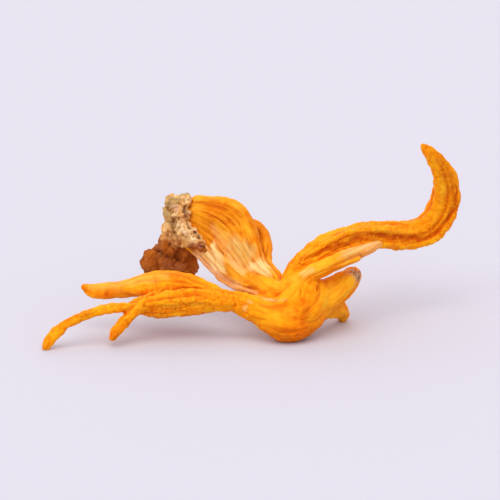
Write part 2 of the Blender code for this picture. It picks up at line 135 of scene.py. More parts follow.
# %% Ribs of the curled arm
CURLED_ARM_RIBS = [
    # the main club
    [(6.8, -1.4, 6.4, 2.3), (7.9, -1.0, 9.2, 2.5), (9.8, -0.4, 12.2, 2.15), (12.4, 1.0, 14.2, 1.75),
     (16.0, 4.0, 15.0, 1.6), (20.0, 7.0, 15.1, 1.55), (24.0, 10.0, 14.1, 1.55), (27.6, 12.5, 13.4, 1.65),
     (30.6, 14.0, 14.1, 1.7), (32.6, 14.0, 16.9, 1.75), (33.1, 12.8, 20.6, 1.65), (32.4, 11.0, 24.4, 1.45),
     (31.0, 9.3, 27.4, 1.2), (29.3, 8.0, 29.5, 0.75)],
    # the narrow rib along its outer side, past a furrow
    [(9.8, -2.0, 10.7, 1.2), (12.2, -0.9, 12.7, 1.0), (15.8, 2.1, 13.5, 0.85), (20.2, 5.4, 13.5, 0.8),
     (24.2, 8.6, 12.3, 0.8), (28.3, 11.5, 11.5, 0.85), (32.0, 13.0, 12.5, 0.9), (34.4, 13.1, 15.9, 0.9),
     (35.1, 11.9, 20.4, 0.8), (34.1, 10.2, 24.6, 0.65), (32.3, 8.9, 27.6, 0.5), (30.4, 8.1, 29.2, 0.35)],
    # a low rib on its back
    [(7.2, -0.4, 8.0, 0.9), (9.2, 1.1, 11.2, 1.25), (13.2, 3.2, 14.6, 1.0), (18.2, 7.3, 15.5, 0.85),
     (24.4, 11.6, 14.5, 0.85), (29.0, 15.0, 14.3, 0.85), (31.6, 15.5, 17.6, 0.85), (31.9, 14.1, 21.4, 0.75),
     (31.5, 12.1, 24.8, 0.6), (30.6, 10.2, 27.4, 0.4)],
    # a fine wrinkle along its face
    [(9.0, -2.4, 12.6, 0.6), (12.6, -0.6, 15.0, 0.6), (17.0, 3.2, 16.0, 0.55), (21.6, 6.8, 15.6, 0.55),
     (26.4, 10.6, 14.4, 0.5)],
]
print("ribs of the curled arm:", len(CURLED_ARM_RIBS))

# %% [markdown]
# ## The base fan
# At the foot of the cluster several stems grew together side by side, so the foot is a
# pleated sheet and not a tube. Three lines run along it from the butt end to the trunk:
# the rolled upper edge, the middle of the face, and the thin lower rim. The pleats lie
# between them on a curve through all three, which gives the sheet its hollow.

# %% Lines and pleats of the fan
FAN_CREST = [(-8.8, 11.5, 19.0), (-6.2, 10.6, 19.1), (-3.6, 9.2, 19.0), (-1.4, 7.8, 18.0), (0.0, 6.2, 15.9),
             (1.0, 4.4, 13.2), (2.2, 2.2, 10.5), (4.6, -0.2, 8.3)]
FAN_FACE = [(-10.2, 11.2, 16.2), (-8.0, 9.4, 15.7), (-5.8, 7.4, 14.8), (-3.8, 5.6, 13.2), (-2.2, 4.0, 11.6),
            (-0.6, 2.2, 9.9), (1.4, 0.4, 8.6), (4.6, -1.8, 7.4)]
FAN_RIM = [(-11.4, 12.2, 12.1), (-9.7, 10.6, 10.9), (-8.0, 8.8, 9.9), (-6.5, 6.8, 8.9), (-5.0, 4.7, 7.8),
           (-2.9, 2.3, 7.2), (0.1, -0.3, 6.9), (3.8, -3.1, 6.3)]
PLEAT_RADII = (1.45, 1.3, 1.22, 1.28, 1.3, 1.18, 1.1, 1.16, 1.2, 1.08, 1.0, 0.9, 0.85)   # crest to rim
PLEAT_TAPER = 0.25       # how much thinner a pleat is at either end
FAN_EXTRA_RIBS = [
    # the second fold beside the upper edge
    [(-1.4, 7.5, 16.7, 0.6), (0.4, 8.6, 15.9, 0.85), (2.3, 8.4, 14.4, 1.15), (2.9, 6.4, 12.2, 1.2),
     (2.8, 4.0, 10.1, 1.2), (4.4, 1.2, 8.1, 1.6)],
    # a pleat on its back
    [(-9.6, 12.0, 17.4, 0.7), (-7.6, 12.3, 17.2, 1.1), (-4.0, 10.2, 15.6, 1.3), (-1.2, 6.8, 12.4, 1.3),
     (1.6, 2.6, 9.2, 1.4)],
]


def fan_pleat(across, radius):
    """One pleat of the sheet: across is 0 at the crest, 0.5 on the face and 1 at the rim."""
    weights = ((1 - across) * (1 - 2 * across), 4 * across * (1 - across), across * (2 * across - 1))
    last = len(FAN_CREST) - 1
    points = []
    for number, lines in enumerate(zip(FAN_CREST, FAN_FACE, FAN_RIM)):
        place = sum((Vector(line) * weight for line, weight in zip(lines, weights)), Vector())
        fullness = 1.0 - PLEAT_TAPER * abs(1.0 - 2.0 * number / last)
        points.append((*place, radius * fullness))
    return points


FAN_RIBS = [fan_pleat(index / (len(PLEAT_RADII) - 1), radius) for index, radius in enumerate(PLEAT_RADII)]
FAN_RIBS += FAN_EXTRA_RIBS
print("ribs of the fan:", len(FAN_RIBS))

# %% [markdown]
# ## Flesh between the ribs
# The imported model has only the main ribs, with deep gaps between some of them. In the
# real cluster shrunken flesh fills most of each gap, and only a narrow furrow is left. A
# few soft ribs lie in those gaps; they show as little more than a change of slope.

# %% Fill the deepest gaps
def between(rib_a, rib_b, share):
    """A rib that runs between two others, point by point, nearer to b as share grows."""
    return [tuple(np.array(a) * (1.0 - share) + np.array(b) * share) for a, b in zip(rib_a, rib_b)]


LEFT_ARM_RIBS += [
    [(-20.6, -1.0, 7.2, 0.9), (-17.4, -2.3, 7.8, 1.2), (-13.6, -3.1, 8.2, 1.35), (-10.0, -3.8, 8.2, 1.3),
     (-6.0, -4.3, 7.3, 1.2)],
]
TRUNK_RIBS += [
    [(4.8, -5.8, 5.0, 1.8), (7.4, -5.8, 5.2, 2.3), (9.2, -5.0, 6.6, 2.3), (9.9, -4.0, 8.8, 1.8)],
    [(7.0, -6.0, 4.0, 2.2), (9.6, -5.4, 4.8, 2.3), (11.3, -3.8, 6.4, 2.0), (11.4, -2.8, 8.4, 1.6)],
]
GREY_STUB_RIBS += [
    [(10.5, -4.0, 5.2, 1.6), (13.5, -2.2, 6.2, 1.9), (16.0, -0.4, 8.0, 1.7), (17.2, 0.6, 9.2, 1.2)],
    [(10.8, -2.6, 8.0, 1.6), (13.0, -1.4, 8.0, 1.5), (15.4, 0.1, 8.7, 1.4), (17.0, 1.2, 9.5, 0.9)],
]
CURLED_ARM_RIBS += [between(CURLED_ARM_RIBS[0][2:], CURLED_ARM_RIBS[1], share=0.6)]
print("ribs of the trunk with its soft flesh:", len(TRUNK_RIBS))

# %% [markdown]
# ## Smooth routes with a frame
# A Catmull-Rom curve passes through every point of a rib and bends softly between them.
# Each sample also gets a little frame: a tangent along the rib, a side and an up. The
# frame is carried from sample to sample without a twist, so that it can later say where
# on the rib a point of the skin lies. The fibres of the flesh follow those coordinates.

# %% Sample a rib and carry a frame along it
RIB_SPACING = 0.7        # mm between two samples of a rib
THINNEST = 0.15          # mm, so that a rib never closes between two points
SIDEWAYS = (0.2, 0.3, 1.0)   # no rib starts along this direction, so it gives each one a side


def smooth_route(points):
    """Samples of a Catmull-Rom curve through points (x, y, z, radius)."""
    points = np.array(points, float)
    ends = np.vstack([points[:1], points, points[-1:]])
    samples = []
    for before, start, stop, after in zip(ends, ends[1:], ends[2:], ends[3:]):
        steps = max(1, round(np.linalg.norm((stop - start)[:3]) / RIB_SPACING))
        t = (np.arange(steps) / steps)[:, None]
        samples.append(0.5 * (2 * start + (stop - before) * t
                              + (2 * before - 5 * start + 4 * stop - after) * t ** 2
                              + (3 * start - before - 3 * stop + after) * t ** 3))
    samples.append(points[-1:])
    return np.vstack(samples)


def make_rib(branch, points, grain=0.0, wrinkles=1.0):
    """A rib with its samples, its frame and the length run from its start."""
    route = smooth_route(points)
    centre = route[:, :3]
    tangent = np.gradient(centre, axis=0)
    tangent /= np.linalg.norm(tangent, axis=1)[:, None]
    side = np.cross(tangent[0], SIDEWAYS)
    sides = []
    for direction in tangent:
        side = side - direction * (side @ direction)
        side /= np.linalg.norm(side)
        sides.append(side)
    steps = np.linalg.norm(np.diff(centre, axis=0), axis=1)
    return {
        "branch": branch, "grain": grain, "wrinkles": wrinkles,
        "centre": centre, "radius": np.maximum(route[:, 3], THINNEST),
        "tangent": tangent, "side": np.array(sides), "up": np.cross(tangent, sides),
        "along": np.concatenate([[0.0], np.cumsum(steps)]),
    }


# %% All the ribs, with how grainy and how wrinkled each branch is
# The upper part of a club bears the spore vessels, which show as fine grains. The foot,
# the fan and the stubs have none, or few. The plump upper club and the fan are smoother.
RIB_TABLE = {
    "left_arm": (LEFT_ARM_RIBS, (1.0, 0.3, 0.9, 0.3, 1.0, 0.5), (0.5, 0.35, 0.5, 0.35, 0.5, 0.5)),
    "finger": (FINGER_RIBS, 0.8, 0.8),
    "trunk": (TRUNK_RIBS, (0.35, 0.3, 0.1, 0.2, 0.45, 0.5, 0.2, 0.2), 0.65),
    "curled_arm": (CURLED_ARM_RIBS, 0.85, 0.5),
    "grey_stub": (GREY_STUB_RIBS, 0.3, 0.8),
    "fan": (FAN_RIBS, 0.0, 0.95),
}
ribs = []
for branch, (routes, grains, wrinkles) in RIB_TABLE.items():
    grains, wrinkles = np.broadcast_to(grains, len(routes)), np.broadcast_to(wrinkles, len(routes))
    ribs += [make_rib(branch, *values) for values in zip(routes, grains, wrinkles)]
print("ribs in the cluster:", len(ribs), "with", sum(len(rib["radius"]) for rib in ribs), "samples")

# %% [markdown]
# ## Strands
# Between the big ribs and the grains of the skin there is a middle size: strands half a
# millimetre wide that lie on a rib and wind slowly around it. They are thin ribs
# themselves, laid on the surface of their parent and fading out at both ends.

# %% Lay thin strands on a rib
STRAND_STEP = 2                # samples of the parent between two points of a strand
STRAND_RISE = 0.5              # share of its radius by which a strand stands out where it is fullest
STRAND_ENDS = (0.45, 0.6)      # shares of the parent: it starts before the first, ends after the second
STRAND_STRAY = 0.35            # how far it strays from an even place around the parent
STRAND_WIDTHS = (0.7, 1.25)    # times the radius
STRAND_TWISTS = (0.5, 1.5)     # times the twist
STRAND_FADE, STRAND_FULLNESS = 0.06, 0.8   # where its swell starts on a half wave, and the wave's power


def strands_on(parent, count, radius, twist, seed):
    """Thin ribs that wind around a parent by twist radians per mm."""
    draw = random.Random(seed)
    samples = len(parent["radius"])
    made = []
    for index in range(count):
        first = draw.randrange(0, max(1, int(samples * STRAND_ENDS[0])))
        last = draw.randrange(int(samples * STRAND_ENDS[1]), samples)
        angle = math.tau * (index + draw.uniform(-STRAND_STRAY, STRAND_STRAY)) / count
        width = radius * draw.uniform(*STRAND_WIDTHS)
        lean = twist * draw.uniform(*STRAND_TWISTS)
        points = []
        for sample in range(first, last, STRAND_STEP):
            through = (sample - first) / max(1, last - first)
            wave = STRAND_FADE + (1.0 - 2.0 * STRAND_FADE) * through
            fullness = math.sin(math.pi * wave) ** STRAND_FULLNESS
            turn = angle + lean * parent["along"][sample]
            outward = parent["side"][sample] * math.cos(turn) + parent["up"][sample] * math.sin(turn)
            height = parent["radius"][sample] + width * (STRAND_RISE * fullness - 1.0)
            points.append((*(parent["centre"][sample] + outward * height), width))
        if len(points) > 2:
            made.append(make_rib(parent["branch"], points))
    return made


# for each branch, and each of its ribs that has any: strands, radius in mm, radians per mm
STRANDS = {
    ("left_arm", 0): (6, 0.50, 0.03), ("left_arm", 1): (5, 0.45, -0.05),
    ("finger", 0): (5, 0.30, 0.04), ("finger", 1): (5, 0.32, 0.03),
    ("trunk", 0): (8, 0.60, 0.05), ("trunk", 1): (6, 0.55, -0.04), ("trunk", 2): (7, 0.50, 0.03),
    ("trunk", 3): (8, 0.55, 0.03),
    ("curled_arm", 0): (9, 0.45, 0.035), ("curled_arm", 1): (4, 0.30, 0.03),
    ("curled_arm", 2): (5, 0.30, 0.03),
    ("grey_stub", 0): (9, 0.55, 0.05), ("grey_stub", 1): (7, 0.50, 0.03),
}
for number in range(len(FAN_RIBS)):
    STRANDS["fan", number] = (4, 0.34, 0.02)

strands = []
for seed, ((branch, number), (count, radius, twist)) in enumerate(STRANDS.items()):
    parent = [rib for rib in ribs if rib["branch"] == branch][number]
    strands += strands_on(parent, count, radius, twist, seed)
print("strands:", len(strands))

# %% [markdown]
# ## From a rib to a tube
# A tube is a small disc that is extruded from sample to sample. After each extrusion one
# matrix carries the new ring from the last place to the next one, and shrinks or swells
# it on the way. A few shrinking rings at both ends make them round.

# %% Extrude a disc along a rib
RIB_SEGMENTS = 14                  # corners of the disc
DOME_ANGLES = (35.0, 65.0, 85.0)   # degrees, rings of a round end


def station(centre, radius, side, up, tangent):
    """The matrix that places a unit disc across a rib."""
    columns = Matrix((side, up, tangent)).transposed() * radius
    place = columns.to_4x4()
    place.translation = Vector(centre)
    return place


def stations_of(rib):
    """Every place of the disc along a rib, with its round ends."""
    inner = [station(*parts) for parts in zip(rib["centre"], rib["radius"], rib["side"], rib["up"],
                                              rib["tangent"])]
    start, end = [], []
    for caps, sample, way in ((start, 0, -1.0), (end, -1, 1.0)):
        for angle in DOME_ANGLES:
            turn = math.radians(angle)
            reach = rib["tangent"][sample] * way * rib["radius"][sample] * math.sin(turn)
            caps.append(station(rib["centre"][sample] + reach, rib["radius"][sample] * math.cos(turn),
                                rib["side"][sample], rib["up"][sample], rib["tangent"][sample]))
    return start[::-1] + inner + end


def tube_mesh(rib):
    """A rib as a closed tube."""
    bm = bmesh.new()
    ring = bmesh.ops.create_circle(bm, cap_ends=True, segments=RIB_SEGMENTS, radius=1.0)["verts"]
    face = ring[0].link_faces[0]
    places = stations_of(rib)
    bmesh.ops.transform(bm, matrix=places[0], verts=ring)
    for last, place in zip(places, places[1:]):
        grown = bmesh.ops.extrude_face_region(bm, geom=[face])["geom"]
        face = next(part for part in grown if isinstance(part, bmesh.types.BMFace))
        bmesh.ops.transform(bm, matrix=place @ last.inverted(), verts=face.verts[:])
    mesh = bpy.data.meshes.new("tube")
    bm.to_mesh(mesh)
    bm.free()
    return mesh


# %% [markdown]
# ## Fusing a bundle into one skin
# A Boolean union of a hundred tubes would be slow and would leave sharp seams. A voxel
# remesh is quick, gives an even mesh that can be sculpted, and melts the tubes together.
# It also wraps the small voids that are left inside the bundle, so only the largest of
# its connected shells, the outer skin, is kept.

# %% Helpers for meshes as arrays
def joined(meshes):
    """One mesh from several, which are removed."""
    bm = bmesh.new()
    for mesh in meshes:
        bm.from_mesh(mesh)
        bpy.data.meshes.remove(mesh)
    together = bpy.data.meshes.new("joined")
    bm.to_mesh(together)
    bm.free()
    return together


def numbers_of(items, field, width, kind=np.float32):
    """One field of all vertices or edges, as rows of so many numbers."""
    flat = np.empty(len(items) * width, kind)
    items.foreach_get(field, flat)
    return flat.reshape(-1, width)


def points_of(mesh):
    return numbers_of(mesh.vertices, "co", 3).astype(float)


def normals_of(mesh):
    return numbers_of(mesh.vertices, "normal", 3).astype(float)


def edges_of(mesh):
    return numbers_of(mesh.edges, "vertices", 2, np.int32)


def set_points(mesh, points):
    mesh.vertices.foreach_set("co", np.asarray(points, np.float32).ravel())
    mesh.update()


def islands_of(mesh):
    """For each vertex, the lowest vertex number in its connected piece."""
    edges = edges_of(mesh)
    label = np.arange(len(mesh.vertices))
    while True:
        low = np.minimum(label[edges[:, 0]], label[edges[:, 1]])
        joint = label.copy()
        for end in (0, 1):
            np.minimum.at(joint, label[edges[:, end]], low)
        joint = joint[joint[joint]]
        if (joint == label).all():
            return label
        label = joint


# %% Fuse tubes or lumps into one skin
SKIN_VOXEL = 0.13        # mm, the grid of the skin: fine enough for grains half a millimetre wide


def placed(name, data):
    """A new object in the scene for a mesh, a light or a camera."""
    thing = bpy.data.objects.new(name, data)
    bpy.context.scene.collection.objects.link(thing)
    return thing


def fused(meshes):
    """One closed skin around overlapping closed meshes."""
    holder = placed("bundle", joined(meshes))
    remesh = holder.modifiers.new("skin", "REMESH")
    remesh.mode = "VOXEL"
    remesh.voxel_size = SKIN_VOXEL
    depsgraph = bpy.context.evaluated_depsgraph_get()
    skin = bpy.data.meshes.new_from_object(holder.evaluated_get(depsgraph))
    bpy.data.objects.remove(holder)
    label = islands_of(skin)
    outer = np.bincount(label).argmax()
    bm = bmesh.new()
    bm.from_mesh(skin)
    inside = [vert for vert, number in zip(bm.verts, label) if number != outer]
    bmesh.ops.delete(bm, geom=inside, context="VERTS")
    bm.to_mesh(skin)
    bm.free()
    print("skin of", len(skin.vertices), "points;", len(inside), "points of inner voids removed")
    return skin


cluster = fused([tube_mesh(rib) for rib in ribs + strands])

# %% [markdown]
# ## Where on a rib a point lies
# Every point of the skin looks for the rib that it lies on. That gives it coordinates in
# the straightened rib: how far along it, and its place across it. Fibres, wrinkles and
# streaks drawn in those coordinates follow every bend of the club. The gap to the next
# best rib tells how near a point is to the furrow between two ribs.

# %% Find the rib, the place on it and the nearest furrow
SEARCH_MARGIN = 1.6      # mm around a rib within which a point of the skin may belong to it
FAR_AWAY = 1e9           # the distance before any rib is found
NOT_ZERO = 1e-6          # a point on a rib's own axis would divide by zero


def across_ribs(points, ribs):
    """Fibre coordinates, rib number, gap to the second rib and how unlike their sides are."""
    count = len(points)
    best, second = np.full(count, FAR_AWAY), np.full(count, FAR_AWAY)
    number = np.zeros(count, int)
    fibre, facing, other = (np.zeros((count, 3)) for _ in range(3))
    for index, rib in enumerate(ribs):
        start, step = rib["centre"][:-1], np.diff(rib["centre"], axis=0)
        reach = rib["radius"].max() + SEARCH_MARGIN
        low, high = rib["centre"].min(0) - reach, rib["centre"].max(0) + reach
        near = np.flatnonzero(((points > low) & (points < high)).all(1))
        offset = points[near][:, None, :] - start
        t = np.clip((offset * step).sum(2) / (step ** 2).sum(1), 0.0, 1.0)
        away = offset - t[:, :, None] * step
        distance = np.linalg.norm(away, axis=2)
        radius = rib["radius"][:-1] * (1 - t) + rib["radius"][1:] * t
        signed = distance - radius
        segment = signed.argmin(1)
        row = np.arange(len(near))
        share = t[row, segment][:, None]
        signed, away = signed[row, segment], away[row, segment]
        side = rib["side"][segment] * (1 - share) + rib["side"][segment + 1] * share
        up = rib["up"][segment] * (1 - share) + rib["up"][segment + 1] * share
        along = rib["along"][segment] * (1 - share[:, 0]) + rib["along"][segment + 1] * share[:, 0]
        place = np.stack([along, (away * side).sum(1), (away * up).sum(1)], 1)
        outward = away / np.maximum(distance[row, segment], NOT_ZERO)[:, None]
        wins = signed < best[near]
        won, lost = near[wins], near[~wins]
        second[won], other[won] = best[won], facing[won]
        best[won], facing[won], fibre[won], number[won] = signed[wins], outward[wins], place[wins], index
        closer = signed[~wins] < second[lost]
        second[lost[closer]], other[lost[closer]] = signed[~wins][closer], outward[~wins][closer]
    unlike = 1.0 - (facing * other).sum(1)
    return fibre, number, second - best, unlike


def smoothstep(low, high, value):
    t = np.clip((value - low) / (high - low), 0.0, 1.0)
    return t * t * (3.0 - 2.0 * t)


def relaxed(values, edges, reach):
    """Moves each value towards the mean of its neighbours, until it has blended over reach in mm."""
    rounds = round((reach / SKIN_VOXEL) ** 2)
    count = len(values)
    neighbours = np.bincount(edges.ravel(), minlength=count)[:, None]
    values = values.reshape(count, -1).copy()
    for _ in range(rounds):
        total = np.empty_like(values)
        for axis in range(values.shape[1]):
            total[:, axis] = (np.bincount(edges[:, 0], values[edges[:, 1], axis], count)
                              + np.bincount(edges[:, 1], values[edges[:, 0], axis], count))
        values = 0.5 * values + 0.5 * total / neighbours
    return values


# %% [markdown]
# ## Noise in millimetres
# Dried skin has two kinds of small shape. Swellings and wrinkles run into each other, and
# Perlin noise gives those. Grains stand apart, and the distance to the nearest of many
# scattered centres gives those. Both take a size in mm, which is that of the real thing,
# and a seed, which shifts the pattern so that no two are alike.

# %% Fields of noise
def noise_over(points, size, seed):
    """Perlin noise for many points; size is the width of its lumps in mm along each axis."""
    places = (points / size + seed).tolist()
    return np.array([noise.noise(place) for place in places])


def grains_over(points, size, seed):
    """Distance to the nearest of many scattered grain centres, in units of size."""
    places = (points / size + seed).tolist()
    return np.array([noise.voronoi(place)[0][0] for place in places])


def patches(points, size, seed, low, high):
    """Soft patches: 0 where the noise is below low and 1 where it is above high."""
    return smoothstep(low, high, noise_over(points, size, seed))


# %% [markdown]
# ## Brush strokes
# Marks and cuts sit in certain places. A stroke is a line of points with a radius in mm, and
# works like a brush: full along the line and fading out over its radius. Nothing on a dried
# fungus is a clean curve, so a stroke wanders a little, and its edge is ragged along the
# fibres, because flesh tears and colours along them.

# %% The strength of brush strokes
FRAY_SIZE, FRAY = (3.2, 0.7, 0.7), 0.6   # mm along and across the fibres, and how ragged an edge is
WANDER_SIZE, WANDER = 2.4, 0.45          # mm between two bends of a stroke, and mm off its line
STROKE_END, STROKE_CORE = 1.5, 0.3       # times its radius: where it has faded out, where it is full


def wandered(points):
    """The points moved a little, so that the strokes drawn over them come out crooked."""
    aside = [noise_over(points, WANDER_SIZE, 80.3 + 5 * axis) for axis in range(3)]
    return points + WANDER * np.stack(aside, 1)


def stroke_strength(points, fibre, strokes, seed):
    """The strongest stroke at each point. A stroke is its full strength and its line."""
    ragged = 1.0 + FRAY * noise_over(fibre, FRAY_SIZE, seed)
    strength = np.zeros(len(points))
    for full, line in strokes:
        for start, stop in zip(line, line[1:]):
            start, stop = np.array(start), np.array(stop)
            step = (stop - start)[:3]
            t = np.clip((points - start[:3]) @ step / (step @ step), 0.0, 1.0)
            distance = np.linalg.norm(points - start[:3] - t[:, None] * step, axis=1)
            share = distance * ragged / (start[3] + t * (stop[3] - start[3]))
            strength = np.maximum(strength, full * smoothstep(STROKE_END, STROKE_CORE, share))
    return strength


# %% The deep furrows of this cluster, where it shrank most as it dried
CUTS = [
    # along the curled arm
    (1.0, [(8.6, -3.6, 12.6, 0.2), (9.6, -2.4, 13.4, 0.3), (11.9, -1.6, 14.1, 0.45), (14.8, 0.4, 14.4, 0.5),
           (17.7, 3.0, 14.5, 0.5), (21.2, 5.6, 14.6, 0.45), (23.6, 7.8, 13.9, 0.45), (26.6, 9.8, 12.9, 0.45),
           (29.3, 11.3, 12.1, 0.5), (31.4, 12.1, 12.9, 0.45), (33.4, 12.4, 14.9, 0.45),
           (34.7, 11.9, 17.5, 0.45), (35.3, 11.4, 20.4, 0.35), (34.6, 10.4, 23.6, 0.15)]),
    # the seam between the two clubs, and a short split on the upper one
    (0.9, [(-17.0, -6.0, 7.2, 0.15), (-16.0, -5.6, 7.8, 0.35), (-13.5, -4.6, 8.5, 0.4),
           (-10.8, -4.8, 8.8, 0.4), (-7.9, -4.8, 8.8, 0.35), (-6.5, -6.4, 8.3, 0.15)]),
    (0.45, [(-15.6, -1.6, 10.3, 0.15), (-15.9, -2.5, 9.8, 0.35), (-15.5, -3.5, 8.8, 0.15)]),
    # down the crown of the trunk, and where it meets the grey-tipped stub
    (0.5, [(8.5, -5.0, 10.2, 0.08), (8.7, -6.1, 8.7, 0.24), (8.5, -7.0, 7.2, 0.08)]),
    (0.9, [(11.6, -4.2, 10.4, 0.12), (11.4, -4.9, 9.0, 0.3), (11.0, -5.6, 7.8, 0.1)]),
    # above the torn rim
    (0.8, [(-1.4, 0.2, 7.8, 0.1), (-0.6, -0.4, 7.7, 0.25), (1.0, -1.6, 7.4, 0.3), (2.6, -3.0, 7.0, 0.1)]),
    # a pleat of the fan
    (0.6, [(-5.1, 5.2, 13.2, 0.1), (-4.4, 4.4, 12.2, 0.25), (-3.9, 3.7, 10.6, 0.1)]),
]
print("furrows cut by hand:", len(CUTS))

# %% [markdown]
# ## Sculpting the dried skin
# As the flesh dries it shrinks along its fibres. Broad swells and long folds run with the
# ribs, fine wrinkles cross them, the fertile clubs are grainy, and a furrow is left between
# two ribs. Each of them is a pattern with a size in mm, and all of them move the skin in or
# out along its normal in one go. A smoothing brush first calms the places that dried smooth.

# %% Sizes and depths in mm
SOFTENING = 0.6          # smoothing before the sculpting
# a size is that of one bump, along and across the fibres where it has three numbers
SWELL_SIZE, SWELL_HEIGHT = (5.0, 2.4, 2.4), 0.24
FOLD_SIZE, FOLD_DEPTH, FOLD_SHARPNESS = (11.0, 1.7, 1.7), 0.34, 2.4
WRINKLE_SIZE, WRINKLE_DEPTH, WRINKLE_SHARPNESS = (6.0, 0.75, 0.75), 0.13, 2.8
BEND_SIZE, BEND = 3.0, 0.5                        # how a fold strays from its fibre
FOLD_PATCH, WRINKLE_PATCH, RIPE_PATCH = 4.0, 2.0, 1.6   # patches with more and with less of them
LUMP_SIZE, LUMP_HEIGHT = 1.2, 0.24
SMOOTH_LUMPS = 0.4                                # share of the lumps that is left on smooth flesh
GRAIN_SIZE, GRAIN_HEIGHT, GRAIN_SLOPE = 0.56, 0.17, 1.35
GRAIN_LEVEL = 0.35                                # the part of a grain that is below the level skin
UNRIPE = 0.35                                     # how high a grain is where it isn't ripe
FURROW_WIDTH, FURROW_DEPTH, FURROW_BLEND = 0.30, 0.24, 0.26
FURROW_TURN = (0.05, 0.45)                        # how unlike two ribs' sides are: no furrow, full furrow
RIB_BLEND = 1.2                                   # over which the grain of one rib fades into the next one's
RIB_SHIFT = 17.3                                  # shifts the pattern from rib to rib
CALM_FURROWS, CALM_WRINKLES = 0.65, 0.2           # the share that the smoothing brush takes off them
CUT_DEPTH = 0.36
TOOTH_SIZE, TOOTH_HEIGHT = (0.7, 0.3, 0.3), 0.05  # the finest wrinkles that the mesh can hold
# a fold is painted darker in the flesh, as painted shade, and a wrinkle takes part of it
WRINKLE_SHADE = 0.6                               # how much of a fold's dark colour a wrinkle takes

# %% The smoothing brush
# middle and radius in mm of each dab of the brush, and its strength
DABS = [
    ((9.6, -6.2, 7.0), 6.0, 1.0), ((11.6, -4.8, 7.0), 6.5, 1.0), ((6.0, -7.0, 6.0), 4.0, 0.8),
    ((12.0, -2.0, 13.8), 3.5, 0.6), ((16.5, 1.6, 13.6), 3.0, 0.5), ((-14.5, -3.0, 8.4), 4.5, 0.7),
    ((14.5, -1.4, 7.0), 4.0, 0.8), ((5.5, -8.6, 3.2), 4.0, 0.85), ((9.6, -7.8, 3.0), 4.0, 0.8),
    ((-21.2, -0.6, 7.4), 3.6, 1.0), ((1.2, -7.3, 5.3), 3.6, 1.0), ((3.2, -2.4, 8.4), 3.0, 0.8),
]
DAB_REACH = 1.7          # mm of smoothing under the brush
DAB_CORE = 0.4           # share of its radius within which a dab has its full strength


def dabbed(points, edges):
    """Smooths the skin where the brush touches it, softly towards the edge of each dab.

    Returns the points, and how much each one was touched."""
    smooth = relaxed(points, edges, DAB_REACH)
    touch = np.zeros(len(points))
    for middle, radius, strength in DABS:
        distance = np.linalg.norm(points - middle, axis=1)
        touch = np.maximum(touch, strength * smoothstep(radius, DAB_CORE * radius, distance))
    return points + (smooth - points) * touch[:, None], touch


print("dabs of the smoothing brush:", len(DABS))


# %% Sculpt the cluster
def creases(points, size, seed, sharpness):
    """Thin winding lines where a noise changes its sign: 1 on the line, 0 away from it."""
    return np.clip(1.0 - np.abs(noise_over(points, size, seed)) * sharpness, 0.0, 1.0) ** 2


def sculpted(mesh, ribs):
    """Sculpts a skin along its ribs and returns what the materials need to know."""
    edges = edges_of(mesh)
    points, touch = dabbed(relaxed(points_of(mesh), edges, SOFTENING), edges)
    set_points(mesh, points)
    normals = normals_of(mesh)
    fibre, number, gap, unlike = across_ribs(points, ribs)
    per_rib = np.array([(rib["grain"], rib["wrinkles"]) for rib in ribs])
    grainy, rough = relaxed(per_rib[number], edges, RIB_BLEND).T
    furrow = np.exp(-(gap / FURROW_WIDTH) ** 2) * smoothstep(*FURROW_TURN, unlike)
    furrow = relaxed(furrow, edges, FURROW_BLEND)[:, 0] * (1.0 - CALM_FURROWS * touch)
    rough = rough * (1.0 - CALM_WRINKLES * touch)
    calm = 1.0 - furrow
    fibre += number[:, None] * RIB_SHIFT
    warped = fibre + BEND * noise_over(points, BEND_SIZE, 40.1)[:, None]
    swell = noise_over(fibre, SWELL_SIZE, 3.1)
    fold = creases(warped, FOLD_SIZE, 11.7, FOLD_SHARPNESS)
    fold = fold * patches(points, FOLD_PATCH, 7.7, -0.25, 0.35) * rough
    wrinkle = creases(warped, WRINKLE_SIZE, 19.3, WRINKLE_SHARPNESS)
    wrinkle = wrinkle * patches(points, WRINKLE_PATCH, 9.9, -0.3, 0.3) * rough
    lump = noise_over(points, LUMP_SIZE, 23.9) * (SMOOTH_LUMPS + (1.0 - SMOOTH_LUMPS) * grainy)
    ripeness = UNRIPE + (1.0 - UNRIPE) * patches(points, RIPE_PATCH, 51.3, -0.35, 0.35)
    grain = np.clip(1.0 - grains_over(points, GRAIN_SIZE, 5.5) * GRAIN_SLOPE, 0.0, 1.0) - GRAIN_LEVEL
    grain = grain * grainy * ripeness
    cut = stroke_strength(wandered(points), fibre, CUTS, 71.3)
    height = ((SWELL_HEIGHT * swell - FOLD_DEPTH * fold) * calm
              - CUT_DEPTH * cut
              - WRINKLE_DEPTH * wrinkle
              + LUMP_HEIGHT * lump
              + GRAIN_HEIGHT * grain
              + TOOTH_HEIGHT * noise_over(fibre, TOOTH_SIZE, 61.7)
              - FURROW_DEPTH * furrow * rough)
    points = points + normals * height[:, None]
    points[:, 2] = np.maximum(points[:, 2], 0.0)
    set_points(mesh, points)
    return {"fibre": fibre, "grainy": grainy, "furrow": furrow, "cut": cut,
            "fold": np.maximum(fold, WRINKLE_SHADE * wrinkle), "grain": grain + GRAIN_LEVEL}


cluster_marks = sculpted(cluster, ribs)
print("grainiest", round(float(cluster_marks["grainy"].max()), 2))

# %% [markdown]
# ## Hollows and ridges
# The flesh is painted darker and redder in its hollows, as painted shade, and paler on its
# ridges, as painted highlight. How far a point lies below or above a smoothed copy of the
# same skin tells which it is: a lightly smoothed copy finds the fine wrinkles, a strongly
# smoothed one the deep folds.

# %% Compare the skin with smoothed copies of itself
# mm of smoothing of the copy, and the depth that counts as full
LIGHT_COPY = (0.42, 0.07)
STRONG_COPY = (1.25, 0.8)


